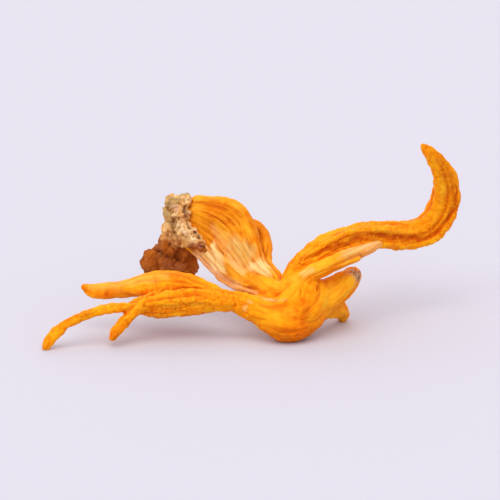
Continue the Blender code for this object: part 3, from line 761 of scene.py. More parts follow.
def below_smooth(points, normals, edges, reach, depth):
    """0.5 where the skin is level, 1 in a hollow of that depth in mm, 0 on a ridge as high."""
    lift = ((relaxed(points, edges, reach) - points) * normals).sum(1)
    return np.clip(0.5 + 0.5 * lift / depth, 0.0, 1.0)


def mark_hollows(mesh, marks):
    points, normals, edges = points_of(mesh), normals_of(mesh), edges_of(mesh)
    marks["cavity"] = below_smooth(points, normals, edges, *LIGHT_COPY)
    marks["hollow"] = below_smooth(points, normals, edges, *STRONG_COPY)


mark_hollows(cluster, cluster_marks)
print("hollows on", round(float((cluster_marks["hollow"] > 0.6).mean()) * 100, 1), "% of the skin")

# %% [markdown]
# ## Zones of colour
# The cluster isn't one orange. The fan has a pale torn rim, a greenish hollow and two
# cream patches, and the cut end of one stub is grey. Some zones are painted light and shade:
# the curl is painted darker on its right, undersides and grooves redder, bulges golden.
# A zone is a list of strokes, each with its strength and a line of points x, y, z and
# radius in the ribs' millimetres. Its edge frays along the fibres, as a real stain does.

# %% Place the zones
ZONES = {
    # cream: bare, light flesh, with one painted highlight on the crown of the trunk
    "pale": [
        # the lobe of the fan's rim, the upright fold beside it, and the light band next to that
        (0.85, [(-10.6, 8.8, 12.2, 0.8), (-8.4, 7.6, 11.6, 1.2), (-7.0, 6.4, 10.8, 1.1),
                (-5.6, 5.0, 9.2, 0.9)]),
        (1.0, [(-5.9, 5.6, 12.8, 0.7), (-5.3, 4.6, 11.2, 1.0), (-4.6, 3.8, 9.6, 0.8)]),
        (0.5, [(-4.0, 4.2, 12.3, 0.5), (-2.4, 2.6, 10.8, 0.7), (-0.8, 1.0, 9.7, 0.7)]),
        # the triangle to the right of the hollow
        (0.9, [(0.5, 1.1, 10.8, 0.8), (2.0, 1.0, 10.9, 1.1), (3.2, 1.4, 10.8, 0.8)]),
        (0.8, [(1.6, 0.9, 10.4, 0.8), (3.3, 0.3, 10.0, 0.8)]),
        # the hollow between the two
        (0.2, [(-6.0, 6.7, 15.4, 0.8), (-4.6, 5.4, 14.3, 1.2), (-2.0, 3.2, 12.6, 1.8),
               (-1.4, 2.2, 10.8, 1.4)]),
        # a bloom on the torn rim
        (0.5, [(-2.2, 0.8, 7.7, 0.4), (-1.2, 0.0, 7.4, 0.4)]),
        # a painted highlight on the crown of the trunk; a paler streak on the tip of the upper club
        (0.3, [(8.8, -4.7, 11.0, 0.5), (10.0, -4.6, 11.6, 0.6)]),
        (0.2, [(-26.4, 1.0, 7.2, 0.8), (-22.3, -0.2, 8.0, 0.9), (-19.1, -1.7, 9.0, 0.9),
               (-14.0, -3.0, 10.1, 0.7)]),
        # two flecks on the neck of the arm
        (0.5, [(-0.8, -6.8, 5.9, 0.35), (-0.4, -6.6, 6.1, 0.35)]),
        (0.4, [(0.2, -6.3, 6.7, 0.3), (0.6, -6.4, 6.6, 0.3)]),
    ],
    # pink: torn edges, down to the white inside
    "torn": [
        (0.6, [(-10.4, 9.4, 11.2, 0.7), (-8.6, 8.6, 10.0, 0.8), (-6.8, 6.6, 8.7, 0.8), (-5.2, 4.2, 7.9, 0.9),
               (-3.8, 2.4, 7.5, 1.0), (-2.4, 1.1, 7.1, 0.9), (-1.0, -0.2, 6.9, 0.7), (0.8, -2.2, 6.9, 0.5)]),
        (0.5, [(0.9, -4.4, 7.2, 0.35), (2.4, -5.2, 7.0, 0.45), (3.5, -5.7, 6.8, 0.35), (5.0, -6.4, 7.0, 0.25),
               (6.5, -6.8, 7.4, 0.2)]),
    ],
    # gold: painted highlight on the bulges, crowns and tops that face the light
    "golden_highlight": [
        # the grey-tipped stub
        (1.0, [(12.4, -4.2, 6.2, 1.8), (14.4, -2.8, 7.2, 2.4), (16.6, -1.2, 8.6, 2.2)]),
        # below the hollow of the fan, then the turn of the trunk, its face and its crown
        (0.6, [(-3.6, 3.2, 10.4, 0.8), (-2.4, 1.8, 9.2, 0.9), (-1.0, 0.6, 8.6, 0.8)]),
        (0.9, [(1.2, -1.0, 8.6, 1.0), (3.2, -2.3, 8.6, 1.3), (5.3, -3.3, 9.0, 1.4), (7.3, -4.6, 9.9, 1.1)]),
        (0.4, [(2.4, -7.6, 5.3, 0.8), (5.0, -7.8, 5.2, 1.0), (7.0, -7.6, 5.4, 0.8)]),
        (0.6, [(7.2, -6.4, 8.0, 0.9), (8.6, -5.2, 10.4, 0.9), (10.7, -4.4, 12.2, 0.9)]),
        # the top of the curled arm
        (0.6, [(11.6, 0.4, 15.8, 0.6), (14.8, 2.7, 16.3, 0.7), (17.7, 5.1, 16.5, 0.7), (21.2, 6.6, 15.9, 0.8),
               (24.8, 8.9, 14.8, 0.8), (28.4, 11.3, 14.0, 0.7), (31.4, 12.3, 15.3, 0.6),
               (32.5, 12.1, 18.4, 0.6), (32.6, 10.6, 21.8, 0.5)]),
        # two grains' worth on the lower club, and the backs of the upper club and the curled arm
        (0.6, [(-13.6, -7.4, 6.4, 0.6), (-12.2, -7.4, 6.2, 0.5)]),
        (0.7, [(-9.0, -7.2, 6.8, 0.7), (-7.6, -7.0, 6.4, 0.6)]),
        (0.5, [(-23.4, -1.2, 7.4, 0.9), (-19.0, -2.0, 8.8, 1.0), (-14.0, -3.4, 10.2, 0.9)]),
        # the fan: its butt, its upper edge and the swell of its face
        (0.4, [(-9.4, 9.6, 17.6, 0.8), (-8.4, 8.4, 15.9, 1.0), (-7.2, 7.2, 14.4, 0.8)]),
        (0.5, [(-7.5, 11.1, 20.0, 0.5), (-5.0, 10.2, 20.3, 0.5), (-2.6, 9.0, 19.9, 0.5)]),
        (0.7, [(-5.4, 6.6, 16.2, 0.6), (-4.0, 5.4, 14.9, 0.9)]),
        (0.5, [(-0.9, 5.2, 17.2, 0.6), (-0.3, 4.9, 16.0, 0.7), (-0.4, 3.9, 14.6, 0.5)]),
    ],
    # grey-green: the thin, dull skin of the fan's hollow
    "dull": [
        (0.75, [(-2.2, 3.9, 14.0, 0.8), (-1.4, 3.2, 13.2, 1.3), (-0.3, 2.3, 12.2, 1.3)]),
        (0.6, [(0.6, 3.2, 13.2, 0.7), (0.3, 2.5, 12.0, 0.8)]),
        (0.6, [(-3.4, 4.3, 13.4, 0.3), (-3.0, 4.0, 12.8, 0.3)]),
        (0.5, [(-5.1, 5.2, 13.2, 0.25), (-4.4, 4.4, 12.3, 0.3), (-4.0, 3.8, 10.9, 0.25)]),
    ],
    # grey: dried residue on a cut end
    "residue": [
        (1.0, [(17.5, 0.0, 10.4, 1.1), (18.6, 0.4, 9.4, 1.2), (19.2, 1.8, 7.6, 0.9)]),
    ],
    # red: painted shade on undersides, in grooves and down one side, and a few real darker spots
    "deep": [
        # painted shade on the right side of the curl, and on the underside of the trunk
        (0.25, [(33.2, 14.4, 12.6, 1.6), (35.4, 13.4, 15.9, 1.8), (36.0, 12.0, 20.4, 1.8),
                (35.0, 10.6, 24.6, 1.6), (33.0, 9.2, 27.8, 1.2)]),
        (0.7, [(3.4, -7.4, 1.4, 2.0), (7.0, -8.6, 0.6, 2.6), (11.0, -6.6, 1.2, 2.4), (13.0, -4.0, 2.4, 1.6)]),
        (0.9, [(-24.1, -0.7, 6.4, 0.45), (-23.8, -0.6, 6.9, 0.4)]),
        # painted shade along the low edge of the lower club, and darker tips and fingers that lie lowest
        (0.55, [(-17.6, -6.8, 5.2, 0.5), (-16.4, -7.1, 5.3, 0.6), (-14.2, -7.2, 5.2, 0.6),
                (-10.8, -7.3, 5.5, 0.4)]),
        (0.9, [(-34.6, -14.6, 0.6, 1.0), (-33.8, -12.4, 0.3, 0.9)]),
        (0.45, [(-32.4, -10.6, 3.4, 0.5), (-28.8, -9.3, 5.3, 0.5), (-25.9, -8.3, 6.2, 0.45)]),
        (0.4, [(-22.2, -10.2, 2.2, 0.8), (-21.1, -9.9, 3.1, 0.6), (-20.0, -8.9, 4.3, 0.5)]),
        (0.6, [(-28.0, 1.4, 7.4, 0.7), (-27.6, 1.2, 6.6, 0.6)]),
        (0.9, [(-0.4, -0.4, 7.8, 0.3), (1.0, -1.6, 7.4, 0.4), (2.4, -2.8, 7.1, 0.5), (3.2, -4.6, 7.2, 0.35)]),
        (0.5, [(-16.0, -4.6, 4.0, 1.2), (-11.0, -4.8, 3.9, 1.4), (-6.0, -4.8, 4.6, 1.0)]),
        (0.6, [(1.2, 7.4, 15.2, 0.7), (1.6, 5.0, 12.8, 0.7), (2.4, 2.6, 11.0, 0.7)]),
        (0.5, [(8.6, -2.6, 12.8, 0.5), (11.8, -2.2, 14.6, 0.5), (15.0, 0.4, 14.2, 0.6)]),
        # painted shade in grooves of the fan, below its upper edge and across its face, and a stain
        (0.85, [(-9.0, 10.6, 19.4, 0.1), (-7.2, 9.7, 19.3, 0.55), (-5.2, 8.5, 19.1, 0.6),
                (-3.0, 7.2, 18.8, 0.2)]),
        (0.4, [(-7.6, 8.5, 17.5, 0.1), (-6.2, 7.6, 17.3, 0.35), (-4.4, 6.5, 17.0, 0.4),
               (-1.6, 5.4, 16.4, 0.1)]),
        (0.45, [(-2.2, 6.9, 18.4, 0.6), (-1.4, 6.3, 18.0, 0.6)]),
        (0.5, [(-0.6, 7.0, 19.2, 0.6), (0.8, 5.4, 17.0, 0.7), (1.6, 4.0, 14.2, 0.7)]),
        (0.45, [(0.8, 7.6, 18.4, 0.8), (2.4, 7.7, 15.3, 1.4), (2.0, 4.3, 13.6, 1.0), (1.8, 2.8, 12.0, 0.8)]),
        # painted shade on the neck of the left arm
        (0.2, [(-5.4, -6.0, 7.6, 1.0), (-2.6, -6.2, 6.8, 1.2), (-0.4, -6.4, 6.2, 0.8)]),
        # the trunk: painted shade on its grainy foot, under its torn lip and below the fan,
        # a painted shadow down its right side, and real spots
        (0.7, [(4.6, -8.8, 2.8, 0.8), (6.2, -9.1, 2.3, 1.1), (7.8, -8.9, 1.9, 1.2), (9.8, -7.8, 1.7, 1.1)]),
        (0.65, [(9.2, -7.0, 7.2, 0.5), (9.2, -7.3, 5.9, 0.8), (9.4, -7.8, 4.8, 0.9), (9.0, -8.3, 3.9, 0.9)]),
        (0.5, [(2.0, -6.6, 6.4, 0.5), (4.0, -7.2, 6.2, 0.7), (6.2, -7.4, 6.4, 0.4)]),
        (0.7, [(-0.6, 2.0, 8.9, 0.5), (1.6, 1.4, 9.2, 0.6), (2.8, 0.4, 9.2, 0.4)]),
        (0.5, [(6.2, -7.0, 6.8, 0.3), (6.5, -7.0, 6.6, 0.3)]),
        (0.5, [(7.6, -7.6, 5.7, 0.3), (7.9, -7.6, 5.5, 0.3)]),
        (0.6, [(14.4, -2.2, 8.5, 0.3), (14.8, -2.1, 8.6, 0.3)]),
    ],
}
places = wandered(points_of(cluster))
for number, (zone, strokes) in enumerate(ZONES.items()):
    cluster_marks[zone] = stroke_strength(places, cluster_marks["fibre"], strokes, seed=31.0 + number)
    print(zone, "covers", round(float((cluster_marks[zone] > 0.3).mean()) * 100, 1), "% of the skin")

# %% [markdown]
# ## Writing the marks on the mesh
# A mark is a number, or a vector, on every point. Stored as an attribute of the mesh, it
# travels with the points when the skin is sawn, and a material can read it by its name.

# %% Store the marks as attributes
def store_marks(mesh, marks):
    for name, values in marks.items():
        kind, field = ("FLOAT_VECTOR", "vector") if values.ndim == 2 else ("FLOAT", "value")
        attribute = mesh.attributes.new(name, kind, "POINT")
        attribute.data.foreach_set(field, np.asarray(values, np.float32).ravel())


store_marks(cluster, cluster_marks)
set_points(cluster, to_world(points_of(cluster)))
print("marks:", sorted(cluster_marks))

# %% [markdown]
# ## Parting the cluster at its forks
# The cluster grew as one piece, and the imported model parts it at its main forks, so that
# each branch has a name. The skin is parted at the same places: a plane slices through a
# branch, the new edges are split, and both sides get a flat lid that is never seen.

# %% Where the cluster is parted
# middle and direction of the cut, and the radius that it reaches, in mm
FORKS = [
    ((-21.3, 0.3, 6.9), (-1.0, 0.1, -0.1), 2.9),        # upper finger
    ((-20.8, -6.7, 5.9), (-1.0, -0.2, 0.1), 1.5),       # long finger
    ((-20.1, -7.6, 4.4), (-0.64, -0.47, -0.6), 1.7),    # short finger
    ((-3.0, -4.6, 6.4), (1.0, 0.0, -0.1), 3.4),         # left arm
    ((8.6, -0.9, 10.4), (0.45, 0.1, 0.88), 6.2),        # curled arm
    ((13.1, -0.6, 5.0), (0.8, 0.5, 0.3), 4.9),          # grey-tipped stub
    ((2.6, -0.2, 8.4), (0.72, -0.60, -0.36), 4.6),      # base fan
]
PIECE_MARKS = {
    "upper_finger": (-25.0, 1.0, 6.5),
    "long_finger": (-27.4, -8.2, 5.0),
    "short_finger": (-21.7, -8.9, 2.7),
    "left_arm": (-12.0, -3.8, 7.4),
    "trunk": (6.0, -4.0, 5.0),
    "curled_arm": (24.0, 10.0, 14.0),
    "grey_tipped_stub": (15.4, 1.4, 6.2),
    "base_fan": (-4.0, 6.5, 13.0),
}
SAWN_DEPTH = 1.0 * MM    # only faces this near to the plane are sawn
ON_PLANE = 0.02 * MM     # a point this near to the plane is moved onto it, which leaves no slivers


def saw(bm, middle, direction, radius):
    """Slices the skin near one fork and splits it along the slice."""
    middle = (Vector(middle) - BOX_CENTRE) * MM
    normal = Vector(direction).normalized()
    reach = radius * MM
    aside = {face: face.verts[0].co - middle for face in bm.faces}
    near = [face for face, way in aside.items()
            if way.length < reach and abs(way.dot(normal)) < SAWN_DEPTH]
    around = set(near)
    around.update(edge for face in near for edge in face.edges)
    around.update(vert for face in near for vert in face.verts)
    cut = bmesh.ops.bisect_plane(bm, geom=list(around), plane_co=middle, plane_no=normal,
                                 dist=ON_PLANE, use_snap_center=True)["geom_cut"]
    edges = [part for part in cut if isinstance(part, bmesh.types.BMEdge)
             and all(abs((vert.co - middle).dot(normal)) < ON_PLANE for vert in part.verts)]
    bmesh.ops.split_edges(bm, edges=edges)
    return len(edges)


print("forks:", len(FORKS), "and pieces:", len(PIECE_MARKS))


# %% Close the pieces where they were sawn
def close_lids(mesh):
    """Fills every open loop and keeps its edge sharp, so that the lid doesn't bend the shading.

    Where one triangle of skin spans a corner of the loop, the lid gets the same triangle once
    more. The two lie flat on each other, so both go, and the skin is still closed."""
    bm = bmesh.new()
    bm.from_mesh(mesh)
    rims = [edge for edge in bm.edges if edge.is_boundary]
    bmesh.ops.holes_fill(bm, edges=rims, sides=0)
    for edge in rims:
        edge.smooth = False
    lids = [face for face in bm.faces if len(face.verts) > 4]
    bmesh.ops.triangulate(bm, faces=lids)
    same_corners = {}
    for face in bm.faces:
        same_corners.setdefault(frozenset(face.verts), []).append(face)
    flat = [face for twins in same_corners.values() if len(twins) > 1 for face in twins]
    bmesh.ops.delete(bm, geom=flat, context="FACES")
    open_edges = sum(edge.is_boundary for edge in bm.edges)
    bm.to_mesh(mesh)
    bm.free()
    return open_edges


# %% Part the skin and name its pieces
bm = bmesh.new()
bm.from_mesh(cluster)
for middle, direction, radius in FORKS:
    print("cut edges:", saw(bm, middle, direction, radius))
bm.to_mesh(cluster)
bm.free()

whole = placed("whole", cluster)
bpy.ops.object.select_all(action="DESELECT")
bpy.context.view_layer.objects.active = whole
whole.select_set(True)
bpy.ops.object.mode_set(mode="EDIT")
bpy.ops.mesh.select_all(action="SELECT")
bpy.ops.mesh.separate(type="LOOSE")
bpy.ops.object.mode_set(mode="OBJECT")
parted = sorted(bpy.context.selected_objects, key=lambda piece: -len(piece.data.vertices))
bpy.ops.object.select_all(action="DESELECT")
print("parted into", [len(piece.data.vertices) for piece in parted])

pieces = {}
for piece in parted:
    centre = points_of(piece.data).mean(0) / MM + np.array(BOX_CENTRE)
    name = min(PIECE_MARKS, key=lambda mark: np.linalg.norm(np.array(PIECE_MARKS[mark]) - centre))
    if name in pieces:   # a crumb of a few points that the saw left beside a fork
        bpy.data.objects.remove(piece)
        continue
    pieces[name] = piece
print("pieces:", {name: len(piece.data.vertices) for name, piece in pieces.items()})

# %% [markdown]
# ## The pale stub
# A flat strip of bare, pinkish flesh, torn along its fibres, stands under the curled arm.
# It is a bundle too, but of long torn fibres, and its end is ragged: its strands run out
# at different lengths.

# %% Build the pale stub
def finished_skin(ribs, strands, zones):
    """A small bundle of its own, sculpted and marked like the cluster."""
    skin = fused([tube_mesh(rib) for rib in ribs + strands])
    marks = sculpted(skin, ribs)
    mark_hollows(skin, marks)
    for number, zone in enumerate(ZONES):
        strokes = zones.get(zone, [])
        marks[zone] = stroke_strength(points_of(skin), marks["fibre"], strokes, seed=41.0 + number)
    store_marks(skin, marks)
    set_points(skin, to_world(points_of(skin)))
    return skin


stub_ribs = [make_rib("pale_stub", points, 0.0, 0.7) for points in PALE_STUB_RIBS]
stub_strands = strands_on(stub_ribs[0], 9, 0.36, 0.02, seed=71)
# at the stub's root a painted highlight, cream and golden, and painted shade along its underside, in red
STUB_ZONES = {
    "pale": [(0.4, [(9.0, -4.7, 11.2, 0.6), (10.4, -4.7, 11.9, 0.6)]),
             (0.3, [(16.4, -2.6, 14.4, 0.5), (18.6, -0.8, 15.0, 0.5), (22.0, 1.2, 15.6, 0.5)])],
    "torn": [(0.55, [(15.8, -2.0, 13.4, 1.0), (18.0, -0.6, 13.9, 1.3), (22.4, 1.8, 14.8, 2.0)])],
    "golden_highlight": [(0.8, [(9.6, -4.6, 11.6, 1.0), (13.4, -3.6, 13.0, 1.1)])],
    "dull": [(0.6, [(16.2, -2.6, 13.6, 0.4), (17.6, -1.9, 14.0, 0.5), (19.0, -1.2, 14.4, 0.4)])],
    "deep": [(0.9, [(12.0, -4.4, 10.6, 0.8), (14.0, -3.6, 11.6, 0.9), (16.4, -2.2, 12.4, 0.6)])],
}
pieces["pale_stub"] = placed("pale_stub", finished_skin(stub_ribs, stub_strands, STUB_ZONES))
print("points of the pale stub:", len(pieces["pale_stub"].data.vertices))

# %% [markdown]
# ## The substrate remnant
# The fungus grew on a bed of grain. A rest of it still sticks to the butt end: husks and
# crumbs, glued together by pale fungus threads. Each crumb is a small squashed ball with
# few faces, turned at random. They are fused, and noise gives the crust its grit.

# %% Lumps and crumbs of the remnant
SUBSTRATE_LUMPS = [
    # the crust on the fan's butt end
    (-12.6, 12.4, 18.4, 1.7), (-10.9, 11.2, 19.1, 1.4), (-13.0, 12.8, 16.4, 1.8), (-11.2, 10.2, 17.0, 1.5),
    (-12.9, 12.6, 14.3, 1.7), (-11.0, 9.8, 14.8, 1.6), (-9.6, 8.9, 14.0, 1.3), (-12.2, 12.0, 12.5, 1.5),
    (-10.4, 9.4, 12.6, 1.5), (-8.7, 8.1, 12.9, 1.3), (-7.7, 7.4, 12.3, 1.0), (-11.6, 14.4, 15.6, 2.0),
    # what is under it, down to the table
    (-13.2, 13.8, 10.8, 2.6), (-11.2, 14.2, 9.8, 2.5), (-12.4, 15.4, 12.8, 2.6), (-14.2, 15.0, 7.2, 3.3),
    (-16.4, 14.4, 6.8, 2.4), (-11.2, 14.8, 6.6, 2.9), (-14.0, 15.6, 2.3, 3.4), (-10.6, 15.6, 2.0, 2.9),
    (-16.8, 14.8, 1.9, 2.6), (-12.2, 17.8, 1.9, 2.7), (-15.4, 17.6, 4.4, 2.6), (-12.6, 17.2, 8.8, 2.6),
]
LUMP_SQUASH, LUMP_FULLNESS = 0.85, 0.96
LUMP_TURN, LUMP_LEAN = 2.4, 0.7   # radians that each lump is turned past the one before; share sideways
CRUMBS_PER_LUMP = 16
CRUMB_RADIUS = (0.28, 0.75)       # mm
CRUMB_STRETCH = (1.0, 1.9)        # husks are longer than wide
CRUMB_FLATNESS = (0.6, 0.9)       # and flatter
CRUMB_SUNK, CRUMB_INSET = 0.35, 0.92   # share of a crumb that is sunk; share of the way out to the skin


def crumb(bm, centre, radius, stretch, turn, subdivisions):
    """A squashed ball, turned and set in place in one step."""
    place = Matrix.Translation(centre) @ Euler(turn).to_matrix().to_4x4() @ Matrix.Diagonal((*stretch, 1.0))
    bmesh.ops.create_icosphere(bm, subdivisions=subdivisions, radius=radius, matrix=place)


def crumbs_around(bm, lumps, per_lump, draw):
    """Scatters crumbs over the upper skin of the lumps."""
    for x, y, z, radius in lumps:
        for _ in range(per_lump):
            way = Vector((draw.gauss(0, 1), draw.gauss(0, 1), draw.gauss(0, 1))).normalized()
            size = draw.uniform(*CRUMB_RADIUS)
            centre = Vector((x, y, z)) + way * (radius - CRUMB_SUNK * size) * CRUMB_INSET
            stretch = (draw.uniform(*CRUMB_STRETCH), 1.0, draw.uniform(*CRUMB_FLATNESS))
            turn = [draw.uniform(0, math.tau) for _ in range(3)]
            crumb(bm, centre, size, stretch, turn, subdivisions=1)


def remnant_mesh():
    """All lumps and crumbs as closed balls that overlap, in one mesh."""
    bm = bmesh.new()
    for index, (x, y, z, radius) in enumerate(SUBSTRATE_LUMPS):
        turn = (LUMP_TURN * index, LUMP_TURN * index * LUMP_LEAN, 0.0)
        size, stretch = radius * LUMP_FULLNESS, (1.0, 1.0, LUMP_SQUASH)
        crumb(bm, Vector((x, y, z)), size, stretch, turn, subdivisions=2)
    crumbs_around(bm, SUBSTRATE_LUMPS, CRUMBS_PER_LUMP, random.Random(5))
    mesh = bpy.data.meshes.new("crumbs")
    bm.to_mesh(mesh)
    bm.free()
    return mesh


print("lumps:", len(SUBSTRATE_LUMPS), "and crumbs:", len(SUBSTRATE_LUMPS) * CRUMBS_PER_LUMP)

# %% Stains and pale threads on the crust
# strokes as in the zones above: strength, then points x, y, z and radius in mm
CRUST_STROKES = {
    # painted shadow in the gaps between the crust and the fan, which are also carved deeper
    "shaded_gap": [
        (1.0, [(-10.9, 9.8, 18.3, 0.6), (-10.5, 9.1, 17.1, 0.7), (-10.2, 8.8, 16.2, 0.5)]),
        (1.0, [(-9.9, 8.7, 15.3, 0.35), (-9.2, 8.0, 14.6, 0.35), (-8.4, 7.6, 14.1, 0.45)]),
        (0.6, [(-8.4, 6.6, 12.6, 0.3), (-7.4, 6.4, 12.2, 0.4)]),
    ],
    # a thin skin of whitish threads
    "threads": [
        (0.9, [(-9.2, 8.2, 15.4, 0.6), (-8.6, 8.2, 14.8, 0.6)]),
        (0.8, [(-12.8, 9.9, 17.6, 0.6), (-12.2, 9.5, 17.0, 0.6)]),
        (0.9, [(-11.8, 9.0, 15.8, 0.8), (-10.4, 7.8, 14.5, 1.0), (-9.2, 7.0, 13.6, 0.8)]),
    ],
    # greenish grey
    "green": [
        (1.0, [(-10.2, 12.0, 20.3, 1.0), (-12.1, 11.1, 19.4, 0.9), (-13.6, 11.6, 18.8, 1.0)]),
        (0.6, [(-14.2, 11.8, 17.0, 1.2), (-12.9, 11.2, 15.4, 0.9), (-12.4, 10.4, 13.6, 0.9)]),
        (0.5, [(-11.8, 9.4, 14.6, 0.6), (-10.6, 8.2, 13.4, 0.7)]),
    ],
    # mauve: husks whose skin shows
    "mauve": [
        (0.8, [(-12.6, 10.4, 18.4, 0.7), (-12.0, 10.2, 17.8, 0.7)]),
        (0.4, [(-9.8, 7.8, 12.8, 0.5), (-8.2, 6.8, 12.4, 0.5)]),
    ],
}
print("strokes on the crust:", sum(len(strokes) for strokes in CRUST_STROKES.values()))

# %% Fuse and sculpt the remnant
# sizes, heights and depths in mm
CRUMB_SOFTENING = 0.15              # smoothing before the sculpting: crumbs keep their edges
GRIT_SIZE, GRIT_HEIGHT = 0.6, 0.19
CHIP_SIZE, CHIP_HEIGHT, CHIP_LEVEL = 1.2, 0.26, 0.5
BARE_GRIT = 0.5                     # share of grit and chips that is left where there is no crust
PIT_SIZE, PIT_DEPTH, PIT_BLEND = 1.5, 0.38, 0.2
GAP_DEPTH = 0.5                     # how deep the dark gaps are
CLOD_SIZE, CLOD_HEIGHT = 2.2, 0.9   # uneven clods of the bare medium below the crust
CLOD_FOOT = (0.5, 2.5)              # above the table, where they start, so that the foot lies flat
CRUST_FOOT = (11.4, 13.6)           # above the table, where the pale crust fades out
CRUST_WANDER = 3.0                  # how far its ragged edge wanders up and down

remnant_skin = fused([remnant_mesh()])
edges = edges_of(remnant_skin)
points = relaxed(points_of(remnant_skin), edges, CRUMB_SOFTENING)
set_points(remnant_skin, points)
remnant_marks = {zone: stroke_strength(points, points, strokes, seed=51.0)
                 for zone, strokes in CRUST_STROKES.items()}
grit = noise_over(points, GRIT_SIZE, 2.2) + 0.5 * noise_over(points, GRIT_SIZE * 0.5, 8.2)
chips = CHIP_LEVEL - grains_over(points, CHIP_SIZE, 6.6)
clods = noise_over(points, CLOD_SIZE, 19.3) * smoothstep(*CLOD_FOOT, points[:, 2])
crusty = smoothstep(*CRUST_FOOT, points[:, 2] + CRUST_WANDER * noise_over(points, CLOD_SIZE, 27.5))
pits = patches(points, PIT_SIZE, 14.1, 0.25, 0.65)
height = ((GRIT_HEIGHT * grit + CHIP_HEIGHT * chips) * (BARE_GRIT + (1.0 - BARE_GRIT) * crusty)
          + CLOD_HEIGHT * clods * (1.0 - crusty)
          - PIT_DEPTH * pits
          - GAP_DEPTH * remnant_marks["shaded_gap"])
points = points + normals_of(remnant_skin) * height[:, None]
points[:, 2] = np.maximum(points[:, 2], 0.0)
set_points(remnant_skin, points)
remnant_marks["pit"] = relaxed(pits, edges, PIT_BLEND)[:, 0]
remnant_marks["crusty"] = crusty
mark_hollows(remnant_skin, remnant_marks)
store_marks(remnant_skin, remnant_marks)
set_points(remnant_skin, to_world(points))
pieces["substrate_remnant"] = placed("substrate_remnant", remnant_skin)
print("points of the remnant:", len(remnant_skin.vertices))

# %% [markdown]
# ## Materials
# Colours are written as they look on a screen, in hex, and one function brings them to
# the linear values that a shader works with. One more function adds a node, with its
# settings and links, so that each material below reads as a list of what it is made of.

# %% Colour and node helpers
def linear(hex_colour):
    """Linear red, green, blue and alpha from an sRGB hex value."""
    parts = [int(hex_colour[index:index + 2], 16) / 255 for index in (1, 3, 5)]
    return (*(part / 12.92 if part <= 0.04045 else ((part + 0.055) / 1.055) ** 2.4 for part in parts), 1.0)


def add(tree, kind, inputs=None, stops=None, **settings):
    """Adds a node. Inputs are values or sockets to link; stops are a colour ramp's places and colours."""
    node = tree.nodes.new(kind)
    for key, value in settings.items():
        setattr(node, key, value)
    for key, value in (inputs or {}).items():
        if isinstance(value, bpy.types.NodeSocket):
            tree.links.new(value, node.inputs[key])
        else:
            node.inputs[key].default_value = value
    if stops:
        elements = node.color_ramp.elements
        while len(elements) < len(stops):
            elements.new(0.5)
        for element, (place, colour) in zip(elements, stops):
            element.position = place
            element.color = linear(colour)
    return node


MIX_FACTOR, MIX_A, MIX_B, MIX_RESULT = 0, 6, 7, 2   # sockets of a Mix node set to colours

# %% [markdown]
# ### Glazes
# A grown surface is painted best as a model maker does it, in thin glazes. Each glaze is
# one colour, or a run of colours that follows a texture, and a mask says where it goes: a
# mark on the skin, or a texture again. The glazes are a table, and one loop lays them on,
# so a colour can be changed without following a web of nodes.

# %% Paint a surface from a table of glazes
FIBRE_STRETCH = (1.0 / 8.0, 1.0, 1.0)   # a streak is eight times as long as it is wide
TEXTURE_ROUGHNESS = 0.6                 # how strong the fine part of each texture is
BUMP_STRENGTH = 0.6
DULLNESS_SPREAD = (-0.08, 0.1)          # how unevenly the surface takes the light
SHEEN_TINT = "#ffd9a0"                  # the little light that is mirrored comes back warm


def painted(name, ground, textures, glazes, relief, relief_depth, roughness, specular):
    """A material in glazes of (mask, from, to, strength, texture, colours) over a ground colour."""
    material = bpy.data.materials.new(name)
    material.use_nodes = True
    tree = material.node_tree
    shader = tree.nodes["Principled BSDF"]
    fibre = add(tree, "ShaderNodeAttribute", attribute_name="fibre").outputs["Vector"]
    stretched = {0: fibre, 1: FIBRE_STRETCH}
    places = {
        "space": add(tree, "ShaderNodeTexCoord").outputs["Object"],
        "fibres": add(tree, "ShaderNodeVectorMath", stretched, operation="MULTIPLY").outputs[0],
    }
    fields = {}
    for label, (place, size, detail) in textures.items():
        waves = {"Vector": places[place], "Scale": 1.0 / size, "Detail": detail,
                 "Roughness": TEXTURE_ROUGHNESS}
        fields[label] = add(tree, "ShaderNodeTexNoise", waves).outputs["Fac"]

    colour = linear(ground)
    for mask, low, high, share, texture, colours in glazes:
        if mask != "all":
            if mask not in fields:
                fields[mask] = add(tree, "ShaderNodeAttribute", attribute_name=mask).outputs["Fac"]
            span = {"Value": fields[mask], "From Min": low, "From Max": high, "To Max": share}
            share = add(tree, "ShaderNodeMapRange", span).outputs[0]
        paint = linear(colours) if texture is None else add(
            tree, "ShaderNodeValToRGB", {"Fac": fields[texture]}, stops=colours).outputs["Color"]
        colour = add(tree, "ShaderNodeMix", {MIX_FACTOR: share, MIX_A: colour, MIX_B: paint},
                     data_type="RGBA").outputs[MIX_RESULT]
    tree.links.new(colour, shader.inputs["Base Color"])

    height = 0.0
    for label, weight in relief.items():
        height = add(tree, "ShaderNodeMath", {0: fields[label], 1: weight, 2: height},
                     operation="MULTIPLY_ADD").outputs[0]
    raised = {"Height": height, "Strength": BUMP_STRENGTH, "Distance": relief_depth}
    bump = add(tree, "ShaderNodeBump", raised)
    tree.links.new(bump.outputs["Normal"], shader.inputs["Normal"])
    dullness = {"Value": fields[next(iter(textures))], "From Min": 0.3, "From Max": 0.7,
                "To Min": roughness + DULLNESS_SPREAD[0], "To Max": roughness + DULLNESS_SPREAD[1]}
    tree.links.new(add(tree, "ShaderNodeMapRange", dullness).outputs[0], shader.inputs["Roughness"])
    shader.inputs["Specular IOR Level"].default_value = specular
    shader.inputs["Specular Tint"].default_value = linear(SHEEN_TINT)
    print(name, "has", len(glazes), "glazes and", len(tree.nodes), "nodes")
    return material
